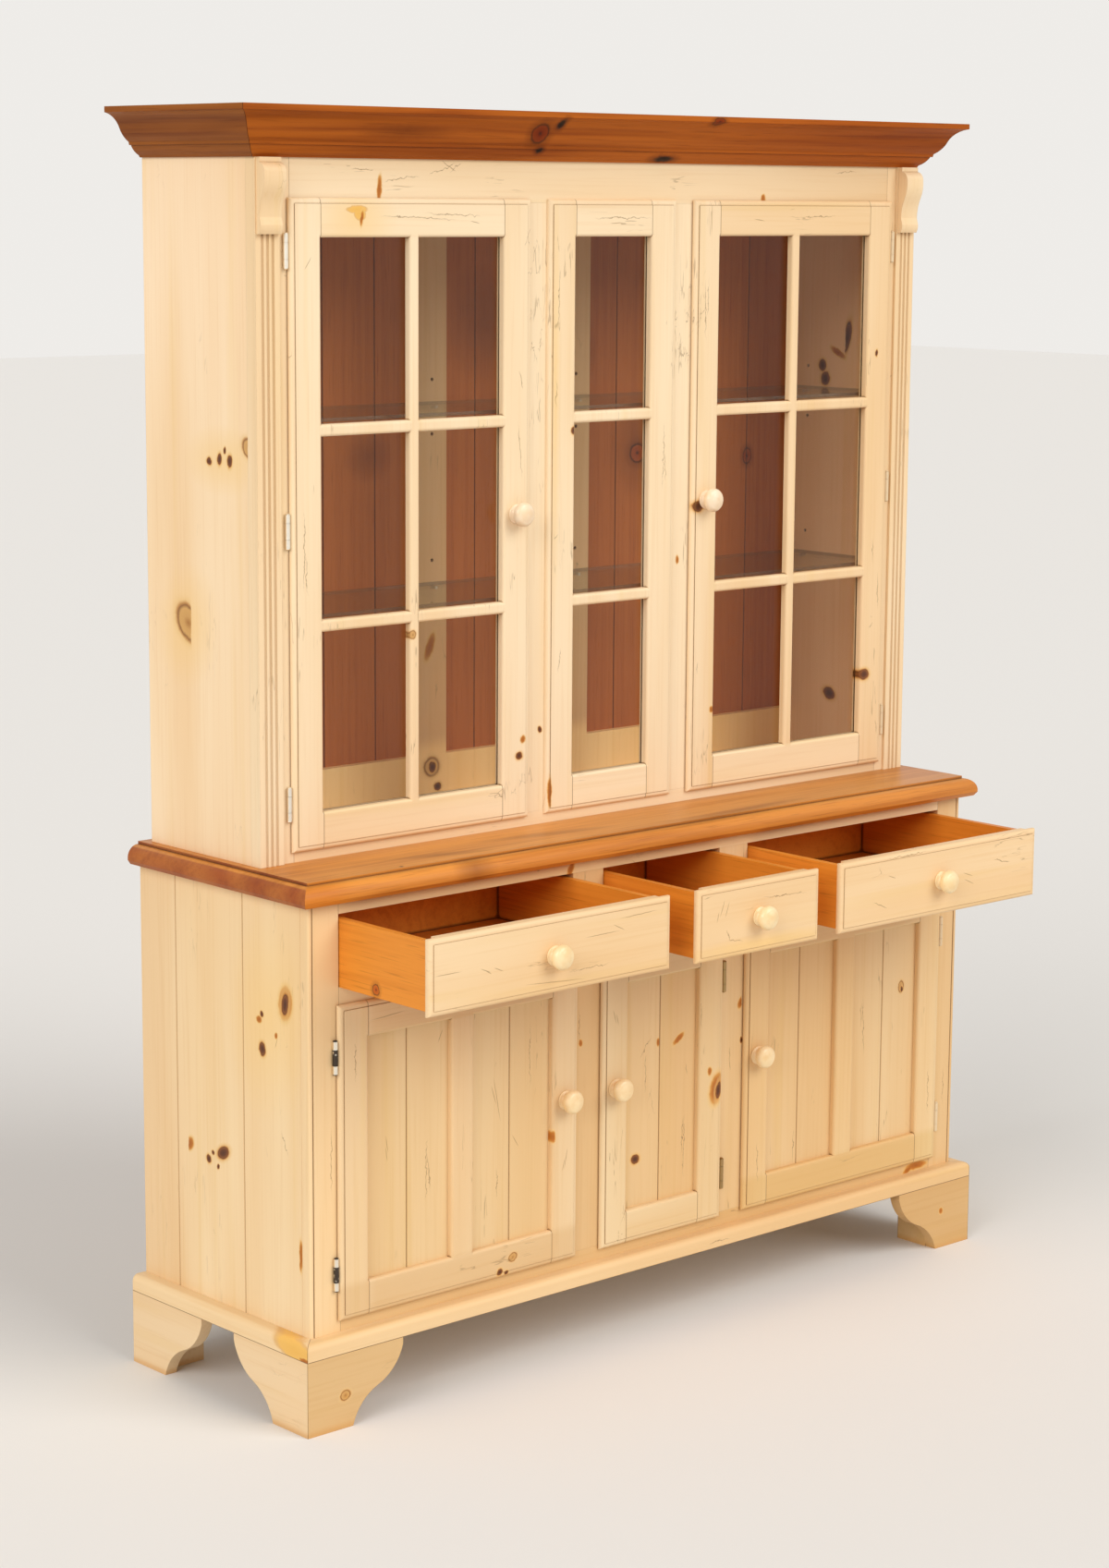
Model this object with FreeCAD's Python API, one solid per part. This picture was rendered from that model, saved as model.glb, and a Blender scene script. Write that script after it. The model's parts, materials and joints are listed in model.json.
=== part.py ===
import FreeCAD, Part
import math
import os

# China cabinet: a glazed hutch on a lower case with drawers and doors. Millimetres, +Z up, front towards -Y.
# The model is drawn with y = 0 on the lower case's front and moved to its origin when it is written.

# Lower case
base_width = 1500.0
base_depth = 444.5
base_stile_width = 59.0
base_divider_width = 67.0
middle_opening_width = 270.0
base_bottom_rail = 51.5
door_opening_height = 497.0
middle_rail = 33.5
drawer_opening_height = 116.0
base_top_rail = 20.5
base_side_thickness = 18.0
side_plank_widths = (149.0, 179.0)
base_floor_thickness = 18.0
floor_below_opening = 5.0
partition_thickness = 18.0
base_shelf_thickness = 18.0
base_shelf_height = 250.0
base_shelf_setback = 40.0
shelf_housing = 5.0
base_back_board_count = 12
back_board_thickness = 8.0
board_groove = 1.6
frame_thickness = 19.0
corner_bead = 8.0
corner_round = 3.5

# Plinth and feet
foot_height = 123.0
plinth_height = 27.0
plinth_out = 26.5
plinth_round = 11.0
foot_bottom_width = 90.0
foot_top_width = 192.0
foot_end_height = 11.0
foot_thickness = 22.0
foot_block = 70.0
foot_bow = 9.0

# Countertop
counter_thickness = 36.0
counter_overhang = 23.0
counter_step = 4.5
counter_nose = 3.8
counter_nose_drop = 7.0
counter_nose_in = 5.0
counter_edge = counter_thickness - counter_step - counter_nose - counter_nose_drop

# Upper case
hutch_width = 1475.0
hutch_depth = 287.5
hutch_back_setback = 18.0
hutch_stile_width = 68.0
hutch_mullion_width = 52.0
centre_opening_width = 277.0
hutch_bottom_rail = 22.5
hutch_opening_height = 1001.0
header_height = 66.0
hutch_side_thickness = 18.0
hutch_floor_thickness = 18.0
hutch_top_thickness = 18.0
hutch_back_board_count = 13
hutch_back_board_thickness = 6.0
back_frame_thickness = 16.0
back_rail_height = 66.0
post_width = 64.0
post_spacing = 330.0

# Cornice, pilasters and corbels
cornice_height = 77.0
cornice_out = 69.3
cornice_fascia = 9.0
cornice_above_case = 4.0
pilaster_hinge_gap = 7.1
pilaster_thickness = 4.5
flute_radius = 2.6
flute_pitch = 10.0
flute_count = 3
corbel_inset = 2.0
corbel_height = 115.0
corbel_out = 22.0
corbel_cap = 8.0

# Profiles as shares of a piece's own projection and height, each with the bow of the edge that follows
cornice_curve = ((0.9, 0.03, 0.043), (0.605, 0.343, -0.03), (0.36, 0.655, 0.0), (0.345, 0.725, 0.0),
                 (0.3, 0.725, -0.026), (0.09, 0.95, 0.0), (0.06, 1.0, 0.0))
corbel_curve = ((0.38, 0.0, -0.19), (0.98, 0.15, -0.09), (0.76, 0.42, 0.1), (0.38, 0.76, 0.0),
                (0.52, 0.87, -0.05), (0.36, 1.0, 0.0))
knob_curve = ((0.76, 0.0, -0.03), (0.76, 0.1, 0.03), (0.56, 0.27, 0.04), (0.84, 0.44, -0.03),
              (1.0, 0.62, -0.08), (0.62, 0.93, -0.01))

# Glass shelves and their pins
glass_shelf_thickness = 6.0
glass_shelf_gap = 2.0
glass_shelf_front_gap = 8.0
lower_glass_shelf_height = 360.0
glass_shelf_spacing = 307.0
pin_radius = 3.0
pin_out = 12.0
pin_in = 9.0
pin_hole_clearance = 0.1
pin_hole_pitch = 46.0
pin_hole_steps = (-1, 0, 1)
pin_column_inset = 32.0

# Doors, drawer fronts and their moulded edges
lip_lap = 6.0
edge_step = 1.2
edge_round = 6.0
edge_shelf = 3.0
door_edge_land = 0.8
drawer_edge_land = 2.8
door_inset = 11.0
sticking_round = 5.0
upper_stile = 59.0
upper_rail = 60.0
muntin = 19.0
upper_pane_rows = 3
upper_pane_columns = 2
centre_pane_columns = 1
glass_thickness = 3.0
glazing_strip = 3.0
lower_stile = 57.0
lower_rail = 57.0
lower_middle_stile = 46.0
lower_panel_rows = 1
outer_panel_columns = 2
middle_panel_columns = 1
panel_board_count = 2
panel_thickness = 8.0
rebate = 8.0
rebate_clearance = 1.0

# Hinges, catches and knobs
leaf_thickness = 1.0
leaf_gap = 0.3
leaf_reach = 14.0
hinge_height = 52.0
hinge_middle_knuckle = 25.0
knuckle_radius = 4.2
knuckle_gap = 0.5
knuckle_seat_gap = 0.2
hinge_pin_radius = 1.6
hinge_pin_clearance = 0.08
upper_hinge_below = 72.0
upper_hinge_above = 74.0
lower_hinge_below = 71.0
lower_hinge_above = 76.0
catch_length = 40.0
catch_height = 12.0
catch_gap = 0.3
catch_from_edge = 60.0
knob_radius = 20.0
knob_length = 30.0
knob_tip_radius = 4.0
upper_knob_from_edge = 32.0
upper_knob_height = 501.0
lower_knob_from_edge = 29.0
lower_knob_height = 270.0

# Drawers, drawn out as far as they are at rest
drawer_front_inset = 10.0
drawer_stop_gap = 0.5
drawer_top_gap = 2.0
drawer_side_gap = 1.5
drawer_side_thickness = 12.0
drawer_side_top_gap = 7.2
drawer_back_gap = 36.5
drawer_bottom_thickness = 6.0
drawer_bottom_rise = 8.0
drawer_groove_depth = 6.0
drawer_groove_clearance = 0.2
outer_drawer_pull = 216.0
middle_drawer_pull = 220.0
runner_gap = 0.3
runner_bearing = 14.0
guide_height = 25.0

# Heights worked out from the sizes above
case_z = foot_height
door_z0 = case_z + base_bottom_rail
door_z1 = door_z0 + door_opening_height
drawer_z0 = door_z1 + middle_rail
drawer_z1 = drawer_z0 + drawer_opening_height
counter_z0 = drawer_z1 + base_top_rail
counter_z1 = counter_z0 + counter_thickness
glazed_z0 = counter_z1 + hutch_bottom_rail
glazed_z1 = glazed_z0 + hutch_opening_height
cornice_z0 = glazed_z1 + header_height
cornice_z1 = cornice_z0 + cornice_height
hutch_top_z = cornice_z1 - cornice_above_case
base_floor_z = door_z0 - floor_below_opening
hutch_floor_z = counter_z1 + hutch_floor_thickness

# Widths and depths worked out from the sizes above
base_half = base_width / 2
base_inner = base_half - base_side_thickness
outer_x = base_half - base_stile_width
middle_x = middle_opening_width / 2
divider_x = middle_x + base_divider_width
partition_x = (middle_x + divider_x) / 2
base_back_y = base_depth - back_board_thickness
hutch_half = hutch_width / 2
hutch_inner = hutch_half - hutch_side_thickness
glazed_outer_x = hutch_half - hutch_stile_width
centre_x = centre_opening_width / 2
mullion_x = centre_x + hutch_mullion_width
hutch_back_y = base_depth - hutch_back_setback
hutch_front_y = hutch_back_y - hutch_depth
hutch_inside_y = hutch_front_y + frame_thickness
hutch_boards_y = hutch_back_y - hutch_back_board_thickness
post_y = hutch_boards_y - back_frame_thickness
lip_gap = 2 * leaf_thickness + leaf_gap
edge_width = edge_round + edge_shelf
door_lip = edge_step + edge_round + door_edge_land
drawer_lip = edge_step + edge_round + drawer_edge_land
glass_setback = door_lip + door_inset - glazing_strip - glass_thickness
panel_setback = door_lip + door_inset - panel_thickness
hinge_reach = lip_lap + knuckle_gap + 2 * knuckle_radius
pilaster_width = hutch_stile_width - hinge_reach - pilaster_hinge_gap
corbel_width = pilaster_width - 2 * corbel_inset
pilaster_y = hutch_front_y - pilaster_thickness
drawer_reach = drawer_stop_gap + drawer_lip + knob_length
front_y = -max(outer_drawer_pull, middle_drawer_pull) - drawer_reach
origin_y = (front_y + base_depth) / 2
tolerance = 0.001
quarter_bow = 1 - math.sqrt(0.5)


def vec(x, y, z):
    return FreeCAD.Vector(x, y, z)


def box(x0, x1, y0, y1, z0, z1):
    return Part.makeBox(x1 - x0, y1 - y0, z1 - z0, vec(x0, y0, z0))


def mirrored(shape):
    """The same piece on the other side of the cabinet's middle plane."""
    return shape.mirror(vec(0, 0, 0), vec(1, 0, 0))


def both_sides(shape):
    return [shape, mirrored(shape)]


def moved_forward(shapes, distance):
    return [shape.translated(vec(0, -distance, 0)) for shape in shapes]


def bowed(start, end, rise):
    """The middle of an arc from start to end that rises to the left of its chord."""
    run_u = end[0] - start[0]
    run_v = end[1] - start[1]
    length = math.hypot(run_u, run_v)
    middle_u = (start[0] + end[0]) / 2 - run_v / length * rise
    middle_v = (start[1] + end[1]) / 2 + run_u / length * rise
    return (middle_u, middle_v)


def outline_wire(points, place):
    """A closed wire. A third number beside a point bows the edge that leads to the next point."""
    edges = []
    for index, point in enumerate(points):
        following = points[(index + 1) % len(points)]
        start = point[:2]
        end = following[:2]
        if len(point) == 3:
            arc = Part.Arc(place(*start), place(*bowed(start, end, point[2])), place(*end))
            edges.append(arc.toShape())
        else:
            edges.append(Part.makeLine(place(*start), place(*end)))
    return Part.Wire(edges)


def extruded(points, place, direction):
    return Part.Face(outline_wire(points, place)).extrude(direction)


def along_x(points, x0, x1):
    """A prism from an outline of (y, z) points."""
    return extruded(points, lambda y, z: vec(x0, y, z), vec(x1 - x0, 0, 0))


def along_y(points, y0, y1):
    """A prism from an outline of (x, z) points."""
    return extruded(points, lambda x, z: vec(x, y0, z), vec(0, y1 - y0, 0))


def along_z(points, z0, z1):
    """A prism from an outline of (x, y) points."""
    return extruded(points, lambda x, y: vec(x, y, z0), vec(0, 0, z1 - z0))


def front_edges(shape, y, x0, x1, z0, z1):
    """The edges that lie in the plane y and within a rectangle."""
    chosen = []
    for edge in shape.Edges:
        bounds = edge.BoundBox
        flat = abs(bounds.YMin - y) < tolerance and abs(bounds.YMax - y) < tolerance
        wide = bounds.XMin > x0 - tolerance and bounds.XMax < x1 + tolerance
        tall = bounds.ZMin > z0 - tolerance and bounds.ZMax < z1 + tolerance
        if flat and wide and tall:
            chosen.append(edge)
    return chosen


def boards(x0, x1, front, back, z0, z1, count):
    """Upright boards edge to edge, with a V groove at each joint on the front."""
    width = (x1 - x0) / count
    made = []
    for index in range(count):
        left = x0 + index * width
        right = left + width
        section = [(left, back), (left, front + board_groove), (left + board_groove, front),
                   (right - board_groove, front), (right, front + board_groove), (right, back)]
        made.append(along_z(section, z0, z1))
    return made


def wrapped_moulding(profile, half, face_y, back_y, out):
    """A moulding in three mitred lengths round a case. The profile is (projection, z) points."""
    inner_left = (-half, face_y)
    inner_right = (half, face_y)
    tip_left = (-half - out, face_y - out)
    tip_right = (half + out, face_y - out)
    z_values = [point[1] for point in profile]
    low = min(z_values)
    high = max(z_values)
    front = along_x([(face_y - point[0],) + point[1:] for point in profile], -half - out, half + out)
    front = front.common(along_z([inner_left, tip_left, tip_right, inner_right], low, high))
    side = along_y([(-half - point[0],) + point[1:] for point in profile], face_y - out, back_y)
    side = side.common(along_z([inner_left, (-half, back_y), (-half - out, back_y), tip_left], low, high))
    return [front] + both_sides(side)


def base_side():
    """Three planks, with housings for the shelf."""
    edges = [frame_thickness]
    for width in side_plank_widths:
        edges.append(edges[-1] + width)
    edges.append(base_depth)
    planks = []
    for front, back in zip(edges[:-1], edges[1:]):
        section = [(-base_inner, front), (-base_inner, back), (-base_half + board_groove, back),
                   (-base_half, back - board_groove), (-base_half, front + board_groove),
                   (-base_half + board_groove, front)]
        planks.append(along_z(section, case_z, counter_z0))
    return [plank.cut(shelf_blank(-base_inner - shelf_housing, 0)) for plank in planks]


def shelf_blank(x0, x1):
    z0 = base_floor_z + base_shelf_height
    return box(x0, x1, frame_thickness + base_shelf_setback, base_back_y, z0, z0 + base_shelf_thickness)


def base_partitions():
    """Uprights behind the dividers, with housings for the shelves on both faces."""
    left = -partition_x - partition_thickness / 2
    right = -partition_x + partition_thickness / 2
    upright = box(left, right, frame_thickness, base_back_y, base_floor_z, counter_z0)
    upright = upright.cut(shelf_blank(left, left + shelf_housing))
    return both_sides(upright.cut(shelf_blank(right - shelf_housing, right)))


def base_shelves():
    outer = shelf_blank(-base_inner - shelf_housing, -partition_x - partition_thickness / 2 + shelf_housing)
    reach = partition_x - partition_thickness / 2 + shelf_housing
    return both_sides(outer) + [shelf_blank(-reach, reach)]


def base_floor():
    bottom = base_floor_z - base_floor_thickness
    return [box(-base_inner, base_inner, frame_thickness, base_back_y, bottom, base_floor_z)]


def base_frame_stiles():
    """Outer stiles with a corner bead set off by a V groove, and the two dividers."""
    stile = box(-base_half, -outer_x, 0, frame_thickness, case_z, counter_z0)
    corner = front_edges(stile, 0, -base_half, -base_half, case_z, counter_z0)
    stile = stile.makeFillet(corner_round, corner)
    quirk = -base_half + corner_bead
    groove = [(quirk - board_groove, -tolerance), (quirk, board_groove), (quirk + board_groove, -tolerance)]
    stile = stile.cut(along_z(groove, case_z, counter_z0))
    divider = box(-divider_x, -middle_x, 0, frame_thickness, door_z0, drawer_z1)
    return both_sides(stile) + both_sides(divider)


def base_frame_rails():
    bottom = box(-outer_x, outer_x, 0, frame_thickness, case_z, door_z0)
    top = box(-outer_x, outer_x, 0, frame_thickness, drawer_z1, counter_z0)
    middle = box(-middle_x, middle_x, 0, frame_thickness, door_z1, drawer_z0)
    outer = box(-outer_x, -divider_x, 0, frame_thickness, door_z1, drawer_z0)
    return [bottom, top, middle] + both_sides(outer)


def drawer_runners():
    """At each side of each drawer: a runner under it, a guide beside it and a kicker over it."""
    partition_left = -partition_x - partition_thickness / 2
    partition_right = -partition_x + partition_thickness / 2
    places = [(-base_inner, -outer_x, 1), (partition_left, -divider_x, -1), (partition_right, -middle_x, 1)]
    made = []
    for wall, edge, towards_drawer in places:
        bearing = edge + towards_drawer * runner_bearing
        levels = [(bearing, door_z1, drawer_z0), (edge, drawer_z0, drawer_z0 + guide_height),
                  (bearing, drawer_z1, counter_z0)]
        for reach, z0, z1 in levels:
            bar = box(min(wall, reach), max(wall, reach), frame_thickness, base_back_y, z0, z1)
            made += both_sides(bar)
    return made


def plinth_moulding():
    top = case_z + plinth_height
    bow = plinth_round * quarter_bow
    profile = [(0, case_z), (plinth_out, case_z), (plinth_out, top - plinth_round, bow),
               (plinth_out - plinth_round, top), (0, top)]
    return wrapped_moulding(profile, base_half, 0, base_depth, plinth_out)


def foot_outline(corner, direction):
    """A bracket foot seen square on: (place, z) points that run from its corner along the case."""
    shoulder = foot_height - foot_end_height
    waist = (foot_bottom_width + foot_top_width) / 2
    bow = direction * foot_bow
    points = [(0, 0), (foot_bottom_width, 0, bow), (waist, shoulder / 2, -bow),
              (foot_top_width, shoulder), (foot_top_width, foot_height), (0, foot_height)]
    return [(corner + direction * point[0],) + point[1:] for point in points]


def foot_corner_block(y0, y1):
    inner = -base_half - plinth_out + foot_thickness
    return box(inner, inner + foot_block, y0, y1, 0, foot_height)


def front_feet():
    """Two boards mitred at the corner, with a block behind them under the case."""
    x = -base_half - plinth_out
    y = -plinth_out
    inner = (x + foot_thickness, y + foot_thickness)
    front_plan = [(x, y), (x + foot_top_width, y), (x + foot_top_width, inner[1]), inner]
    side_plan = [(x, y), inner, (inner[0], y + foot_top_width), (x, y + foot_top_width)]
    front = along_y(foot_outline(x, 1), y, inner[1]).common(along_z(front_plan, 0, foot_height))
    side = along_x(foot_outline(y, 1), x, inner[0]).common(along_z(side_plan, 0, foot_height))
    block = foot_corner_block(inner[1], inner[1] + foot_block)
    return both_sides(front) + both_sides(side) + both_sides(block)


def back_feet():
    x = -base_half - plinth_out
    side = along_x(foot_outline(base_depth, -1), x, x + foot_thickness)
    block = foot_corner_block(base_depth - foot_block, base_depth)
    return both_sides(side) + both_sides(block)


def countertop():
    """A moulded edge on the front and both ends: two prisms meet in mitred corners."""
    front = -counter_overhang
    end = base_half + counter_overhang
    shoulder = counter_z1 - counter_step
    nose_top = shoulder - counter_edge
    nose_low = counter_z0 + counter_nose_drop
    bow = counter_edge * quarter_bow

    def left_edge(at):
        return [(at + counter_nose_in, counter_z0), (at, nose_low), (at, nose_top, bow),
                (at + counter_edge, shoulder), (at + counter_edge, counter_z1)]

    right_edge = [(end - counter_edge, counter_z1), (end - counter_edge, shoulder, bow), (end, nose_top),
                  (end, nose_low), (end - counter_nose_in, counter_z0)]
    depth_profile = left_edge(front) + [(base_depth, counter_z1), (base_depth, counter_z0)]
    width_profile = left_edge(-end) + right_edge
    board = along_x(depth_profile, -end, end)
    return [board.common(along_y(width_profile, front, base_depth))]


def shelf_pin_heights():
    lower = hutch_floor_z + lower_glass_shelf_height - pin_radius
    return [lower, lower + glass_shelf_spacing]


def pin_columns():
    front = hutch_inside_y + pin_column_inset
    back = post_y - pin_column_inset
    return [front, back]


def peg(radius, x, y, z, direction, length):
    return Part.makeCylinder(radius, length, vec(x, y, z), direction)


def pin_hole_heights():
    return [z + step * pin_hole_pitch for z in shelf_pin_heights() for step in pin_hole_steps]


def hutch_side():
    side = box(-hutch_half, -hutch_inner, hutch_inside_y, hutch_back_y, counter_z1, hutch_top_z)
    radius = pin_radius + pin_hole_clearance
    for z in pin_hole_heights():
        for y in pin_columns():
            side = side.cut(peg(radius, -hutch_inner, y, z, vec(-1, 0, 0), pin_in))
    return side


def hutch_back_frame():
    """A lower rail and two posts in one plane in front of the back boards."""
    rail_z = hutch_floor_z + back_rail_height
    rail = box(-hutch_inner, hutch_inner, post_y, hutch_boards_y, hutch_floor_z, rail_z)
    centre = -post_spacing / 2
    left = centre - post_width / 2
    right = centre + post_width / 2
    post = box(left, right, post_y, hutch_boards_y, rail_z, hutch_ceiling())
    for z in pin_hole_heights():
        post = post.cut(peg(pin_radius + pin_hole_clearance, centre, post_y, z, vec(0, 1, 0), pin_in))
    return [rail] + both_sides(post)


def hutch_ceiling():
    return hutch_top_z - hutch_top_thickness


def hutch_board(z0, z1):
    """A level board between the sides, from the face frame to the back boards."""
    return box(-hutch_inner, hutch_inner, hutch_inside_y, hutch_boards_y, z0, z1)


def glass_shelves():
    made = []
    for z in shelf_pin_heights():
        low = z + pin_radius
        made.append(box(-hutch_inner + glass_shelf_gap, hutch_inner - glass_shelf_gap,
                        hutch_inside_y + glass_shelf_front_gap, post_y - glass_shelf_gap,
                        low, low + glass_shelf_thickness))
    return made


def shelf_pins():
    """Pegs in the sides and in the posts, under each shelf."""
    made = []
    length = pin_in + pin_out
    for z in shelf_pin_heights():
        for y in pin_columns():
            made += both_sides(peg(pin_radius, -hutch_inner - pin_in, y, z, vec(1, 0, 0), length))
        made += both_sides(peg(pin_radius, -post_spacing / 2, post_y + pin_in, z, vec(0, -1, 0), length))
    return made


def hutch_frame_stiles():
    back = hutch_inside_y
    stile = box(-hutch_half, -glazed_outer_x, hutch_front_y, back, counter_z1, hutch_top_z)
    mullion = box(-mullion_x, -centre_x, hutch_front_y, back, glazed_z0, glazed_z1)
    return both_sides(stile) + both_sides(mullion)


def hutch_frame_rails():
    bottom = box(-glazed_outer_x, glazed_outer_x, hutch_front_y, hutch_inside_y, counter_z1, glazed_z0)
    header = box(-glazed_outer_x, glazed_outer_x, hutch_front_y, hutch_inside_y, glazed_z1, hutch_top_z)
    return [bottom, header]


def pilasters():
    """Fluted strips on the outer stiles, from the counter to the cornice."""
    left = -hutch_half
    strip = box(left, left + pilaster_width, pilaster_y, hutch_front_y, counter_z1, cornice_z0)
    flute_top = cornice_z0 - corbel_height
    for index in range(flute_count):
        x = left + pilaster_width / 2 + (index - (flute_count - 1) / 2) * flute_pitch
        flute = peg(flute_radius, x, pilaster_y, counter_z1, vec(0, 0, 1), flute_top - counter_z1)
        strip = strip.cut(flute)
    return both_sides(strip)


def corbels():
    """A small cap over a full upper lobe, a hollow and a small lip, seen from the side."""
    left = -hutch_half + (pilaster_width - corbel_width) / 2
    foot_z = cornice_z0 - corbel_height
    lobe_z = cornice_z0 - corbel_cap
    cap_y = pilaster_y - corbel_out * corbel_curve[0][0]
    profile = [(pilaster_y, foot_z), (pilaster_y, cornice_z0), (cap_y, cornice_z0)]
    for out, drop, bow in corbel_curve:
        point = (pilaster_y - corbel_out * out, lobe_z - (lobe_z - foot_z) * drop)
        profile.append(point + (corbel_out * bow,) if bow else point)
    return both_sides(along_x(profile, left, left + corbel_width))


def cornice():
    """A fascia over a cyma, a fillet and a small ovolo."""
    fascia_z = cornice_z1 - cornice_fascia
    profile = [(0, cornice_z0), (0, cornice_z1), (cornice_out, cornice_z1), (cornice_out, fascia_z)]
    for out, drop, bow in cornice_curve:
        point = (cornice_out * out, fascia_z - (fascia_z - cornice_z0) * drop)
        profile.append(point + (cornice_out * bow,) if bow else point)
    return wrapped_moulding(profile, hutch_half, hutch_front_y, hutch_back_y, cornice_out)


def lipped_outline(opening):
    x0, x1, z0, z1 = opening
    return (x0 - lip_lap, x1 + lip_lap, z0 - lip_lap, z1 + lip_lap)


def moulded_plate(outline, back, lip):
    """The part of a door or drawer front that stands out: a raised field with a rounded edge round it."""
    x0, x1, z0, z1 = outline
    shoulder = back - lip + edge_step
    plate = box(x0, x1, shoulder, back, z0, z1)
    plate = plate.makeFillet(edge_round, front_edges(plate, shoulder, x0, x1, z0, z1))
    field = box(x0 + edge_width, x1 - edge_width, back - lip, shoulder, z0 + edge_width, z1 - edge_width)
    return plate.fuse(field).removeSplitter()


def grid(low, high, count, bar):
    """The ends of equal spaces between bars."""
    space = (high - low - (count - 1) * bar) / count
    return [(low + index * (space + bar), low + index * (space + bar) + space) for index in range(count)]


def framed_leaf(opening, face_y, gap, columns, rows, stile, rail, bar, setback, one_rebate):
    """A door or fixed panel: its frame members, its spaces, and the front of what fills them."""
    x0, x1, z0, z1 = lipped_outline(opening)
    lip_back = face_y - gap
    front = lip_back - door_lip
    back = lip_back + door_inset
    spaces_x = grid(x0 + stile, x1 - stile, columns, bar)
    spaces_z = grid(z0 + rail, z1 - rail, rows, bar)
    left = spaces_x[0][0]
    right = spaces_x[-1][1]
    low = spaces_z[0][0]
    high = spaces_z[-1][1]
    inset = box(opening[0] + lip_gap, opening[1] - lip_gap, lip_back, back,
                opening[2] + lip_gap, opening[3] - lip_gap)
    slab = moulded_plate((x0, x1, z0, z1), lip_back, door_lip).fuse(inset).removeSplitter()
    spaces = [(xs[0], xs[1], zs[0], zs[1]) for xs in spaces_x for zs in spaces_z]
    for space in spaces:
        slab = slab.cut(box(space[0], space[1], front, back, space[2], space[3]))
    rounded = []
    for space in spaces:
        rounded += front_edges(slab, front, *space)
    slab = slab.makeFillet(sticking_round, rounded)
    filled = [(left, right, low, high)] if one_rebate else spaces
    for fx0, fx1, fz0, fz1 in filled:
        slab = slab.cut(box(fx0 - rebate, fx1 + rebate, front + setback, back, fz0 - rebate, fz1 + rebate))
    cells = [(x0, left, z0, z1), (right, x1, z0, z1), (left, right, z0, low), (left, right, high, z1)]
    for before, after in zip(spaces_x[:-1], spaces_x[1:]):
        cells.append((before[1], after[0], low, high))
    for xs in spaces_x:
        for before, after in zip(spaces_z[:-1], spaces_z[1:]):
            cells.append((xs[0], xs[1], before[1], after[0]))
    members = [slab.common(box(c[0], c[1], front, back, c[2], c[3])) for c in cells]
    return members, filled, front + setback, back


def glazing(filled, glass_y, back):
    """The glass in its rebate and the four strips that hold it."""
    x0, x1, z0, z1 = filled[0]
    reach = rebate - rebate_clearance
    glass = box(x0 - reach, x1 + reach, glass_y, glass_y + glass_thickness, z0 - reach, z1 + reach)
    y = glass_y + glass_thickness
    uprights = [box(x0 - rebate, x0, y, back, z0 - rebate, z1 + rebate),
                box(x1, x1 + rebate, y, back, z0 - rebate, z1 + rebate)]
    cross = [box(x0, x1, y, back, z0 - rebate, z0), box(x0, x1, y, back, z1, z1 + rebate)]
    return [glass], uprights + cross


def knob(x, y, z):
    """A turned knob on the front face at y."""
    outline = [(0, 0)]
    for radius, out, bow in knob_curve:
        outline.append((knob_radius * radius, knob_length * out, knob_length * bow))
    outline += [(knob_tip_radius, knob_length), (0, knob_length)]
    face = Part.Face(outline_wire(outline, lambda radius, out: vec(x + radius, y - out, z)))
    return face.revolve(vec(x, y, z), vec(0, 1, 0), 360)


def hinge_axis(opening, face_y):
    x = opening[0] - lip_lap - knuckle_gap - knuckle_radius
    return (x, face_y - knuckle_radius - knuckle_seat_gap)


def knuckle(x, y, z0, z1):
    return Part.makeCylinder(knuckle_radius, z1 - z0, vec(x, y, z0))


def hinge(opening, face_y, height):
    """One hinge of a door hung on its left: frame leaf, pin and door leaf."""
    x, y = hinge_axis(opening, face_y)
    z0 = opening[2] + height - hinge_height / 2
    z1 = z0 + hinge_height
    low = z0 + (hinge_height - hinge_middle_knuckle) / 2
    high = z1 - (hinge_height - hinge_middle_knuckle) / 2
    edge = opening[0]
    plate_x = x + knuckle_radius + knuckle_gap
    bore = Part.makeCylinder(hinge_pin_radius + hinge_pin_clearance, hinge_height, vec(x, y, z0))
    frame_leaf = box(plate_x, edge + leaf_thickness, face_y - leaf_thickness, face_y, z0, z1)
    frame_leaf = frame_leaf.fuse(box(edge, edge + leaf_thickness, face_y, face_y + leaf_reach, z0, z1))
    frame_leaf = frame_leaf.fuse(box(x, plate_x, face_y - leaf_thickness, face_y, low, high))
    frame_leaf = frame_leaf.fuse(knuckle(x, y, low, high)).cut(bore).removeSplitter()
    lip_back = face_y - lip_gap
    turn = edge + lip_gap
    door_leaf = box(plate_x, turn, lip_back, lip_back + leaf_thickness, z0, z1)
    door_leaf = door_leaf.fuse(box(turn - leaf_thickness, turn, lip_back, lip_back + door_inset, z0, z1))
    for start, end in ((z0, low - knuckle_gap), (high + knuckle_gap, z1)):
        door_leaf = door_leaf.fuse(box(x, plate_x, lip_back, lip_back + leaf_thickness, start, end))
        door_leaf = door_leaf.fuse(knuckle(x, y, start, end))
    pin = Part.makeCylinder(hinge_pin_radius, hinge_height, vec(x, y, z0))
    return frame_leaf, pin, door_leaf.cut(bore).removeSplitter()


def hinges(opening, face_y, heights):
    made = [hinge(opening, face_y, height) for height in heights]
    frame_side = [piece for frame_leaf, pin, door_leaf in made for piece in (frame_leaf, pin)]
    return frame_side, [door_leaf for frame_leaf, pin, door_leaf in made]


def door_catch(opening, face_y):
    """A magnetic catch under the rail, behind the door's free corner."""
    right = opening[1] - catch_from_edge
    front = face_y - lip_gap + door_inset + catch_gap
    back = face_y + frame_thickness
    return box(right - catch_length, right, front, back, opening[3] - catch_height, opening[3])


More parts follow.
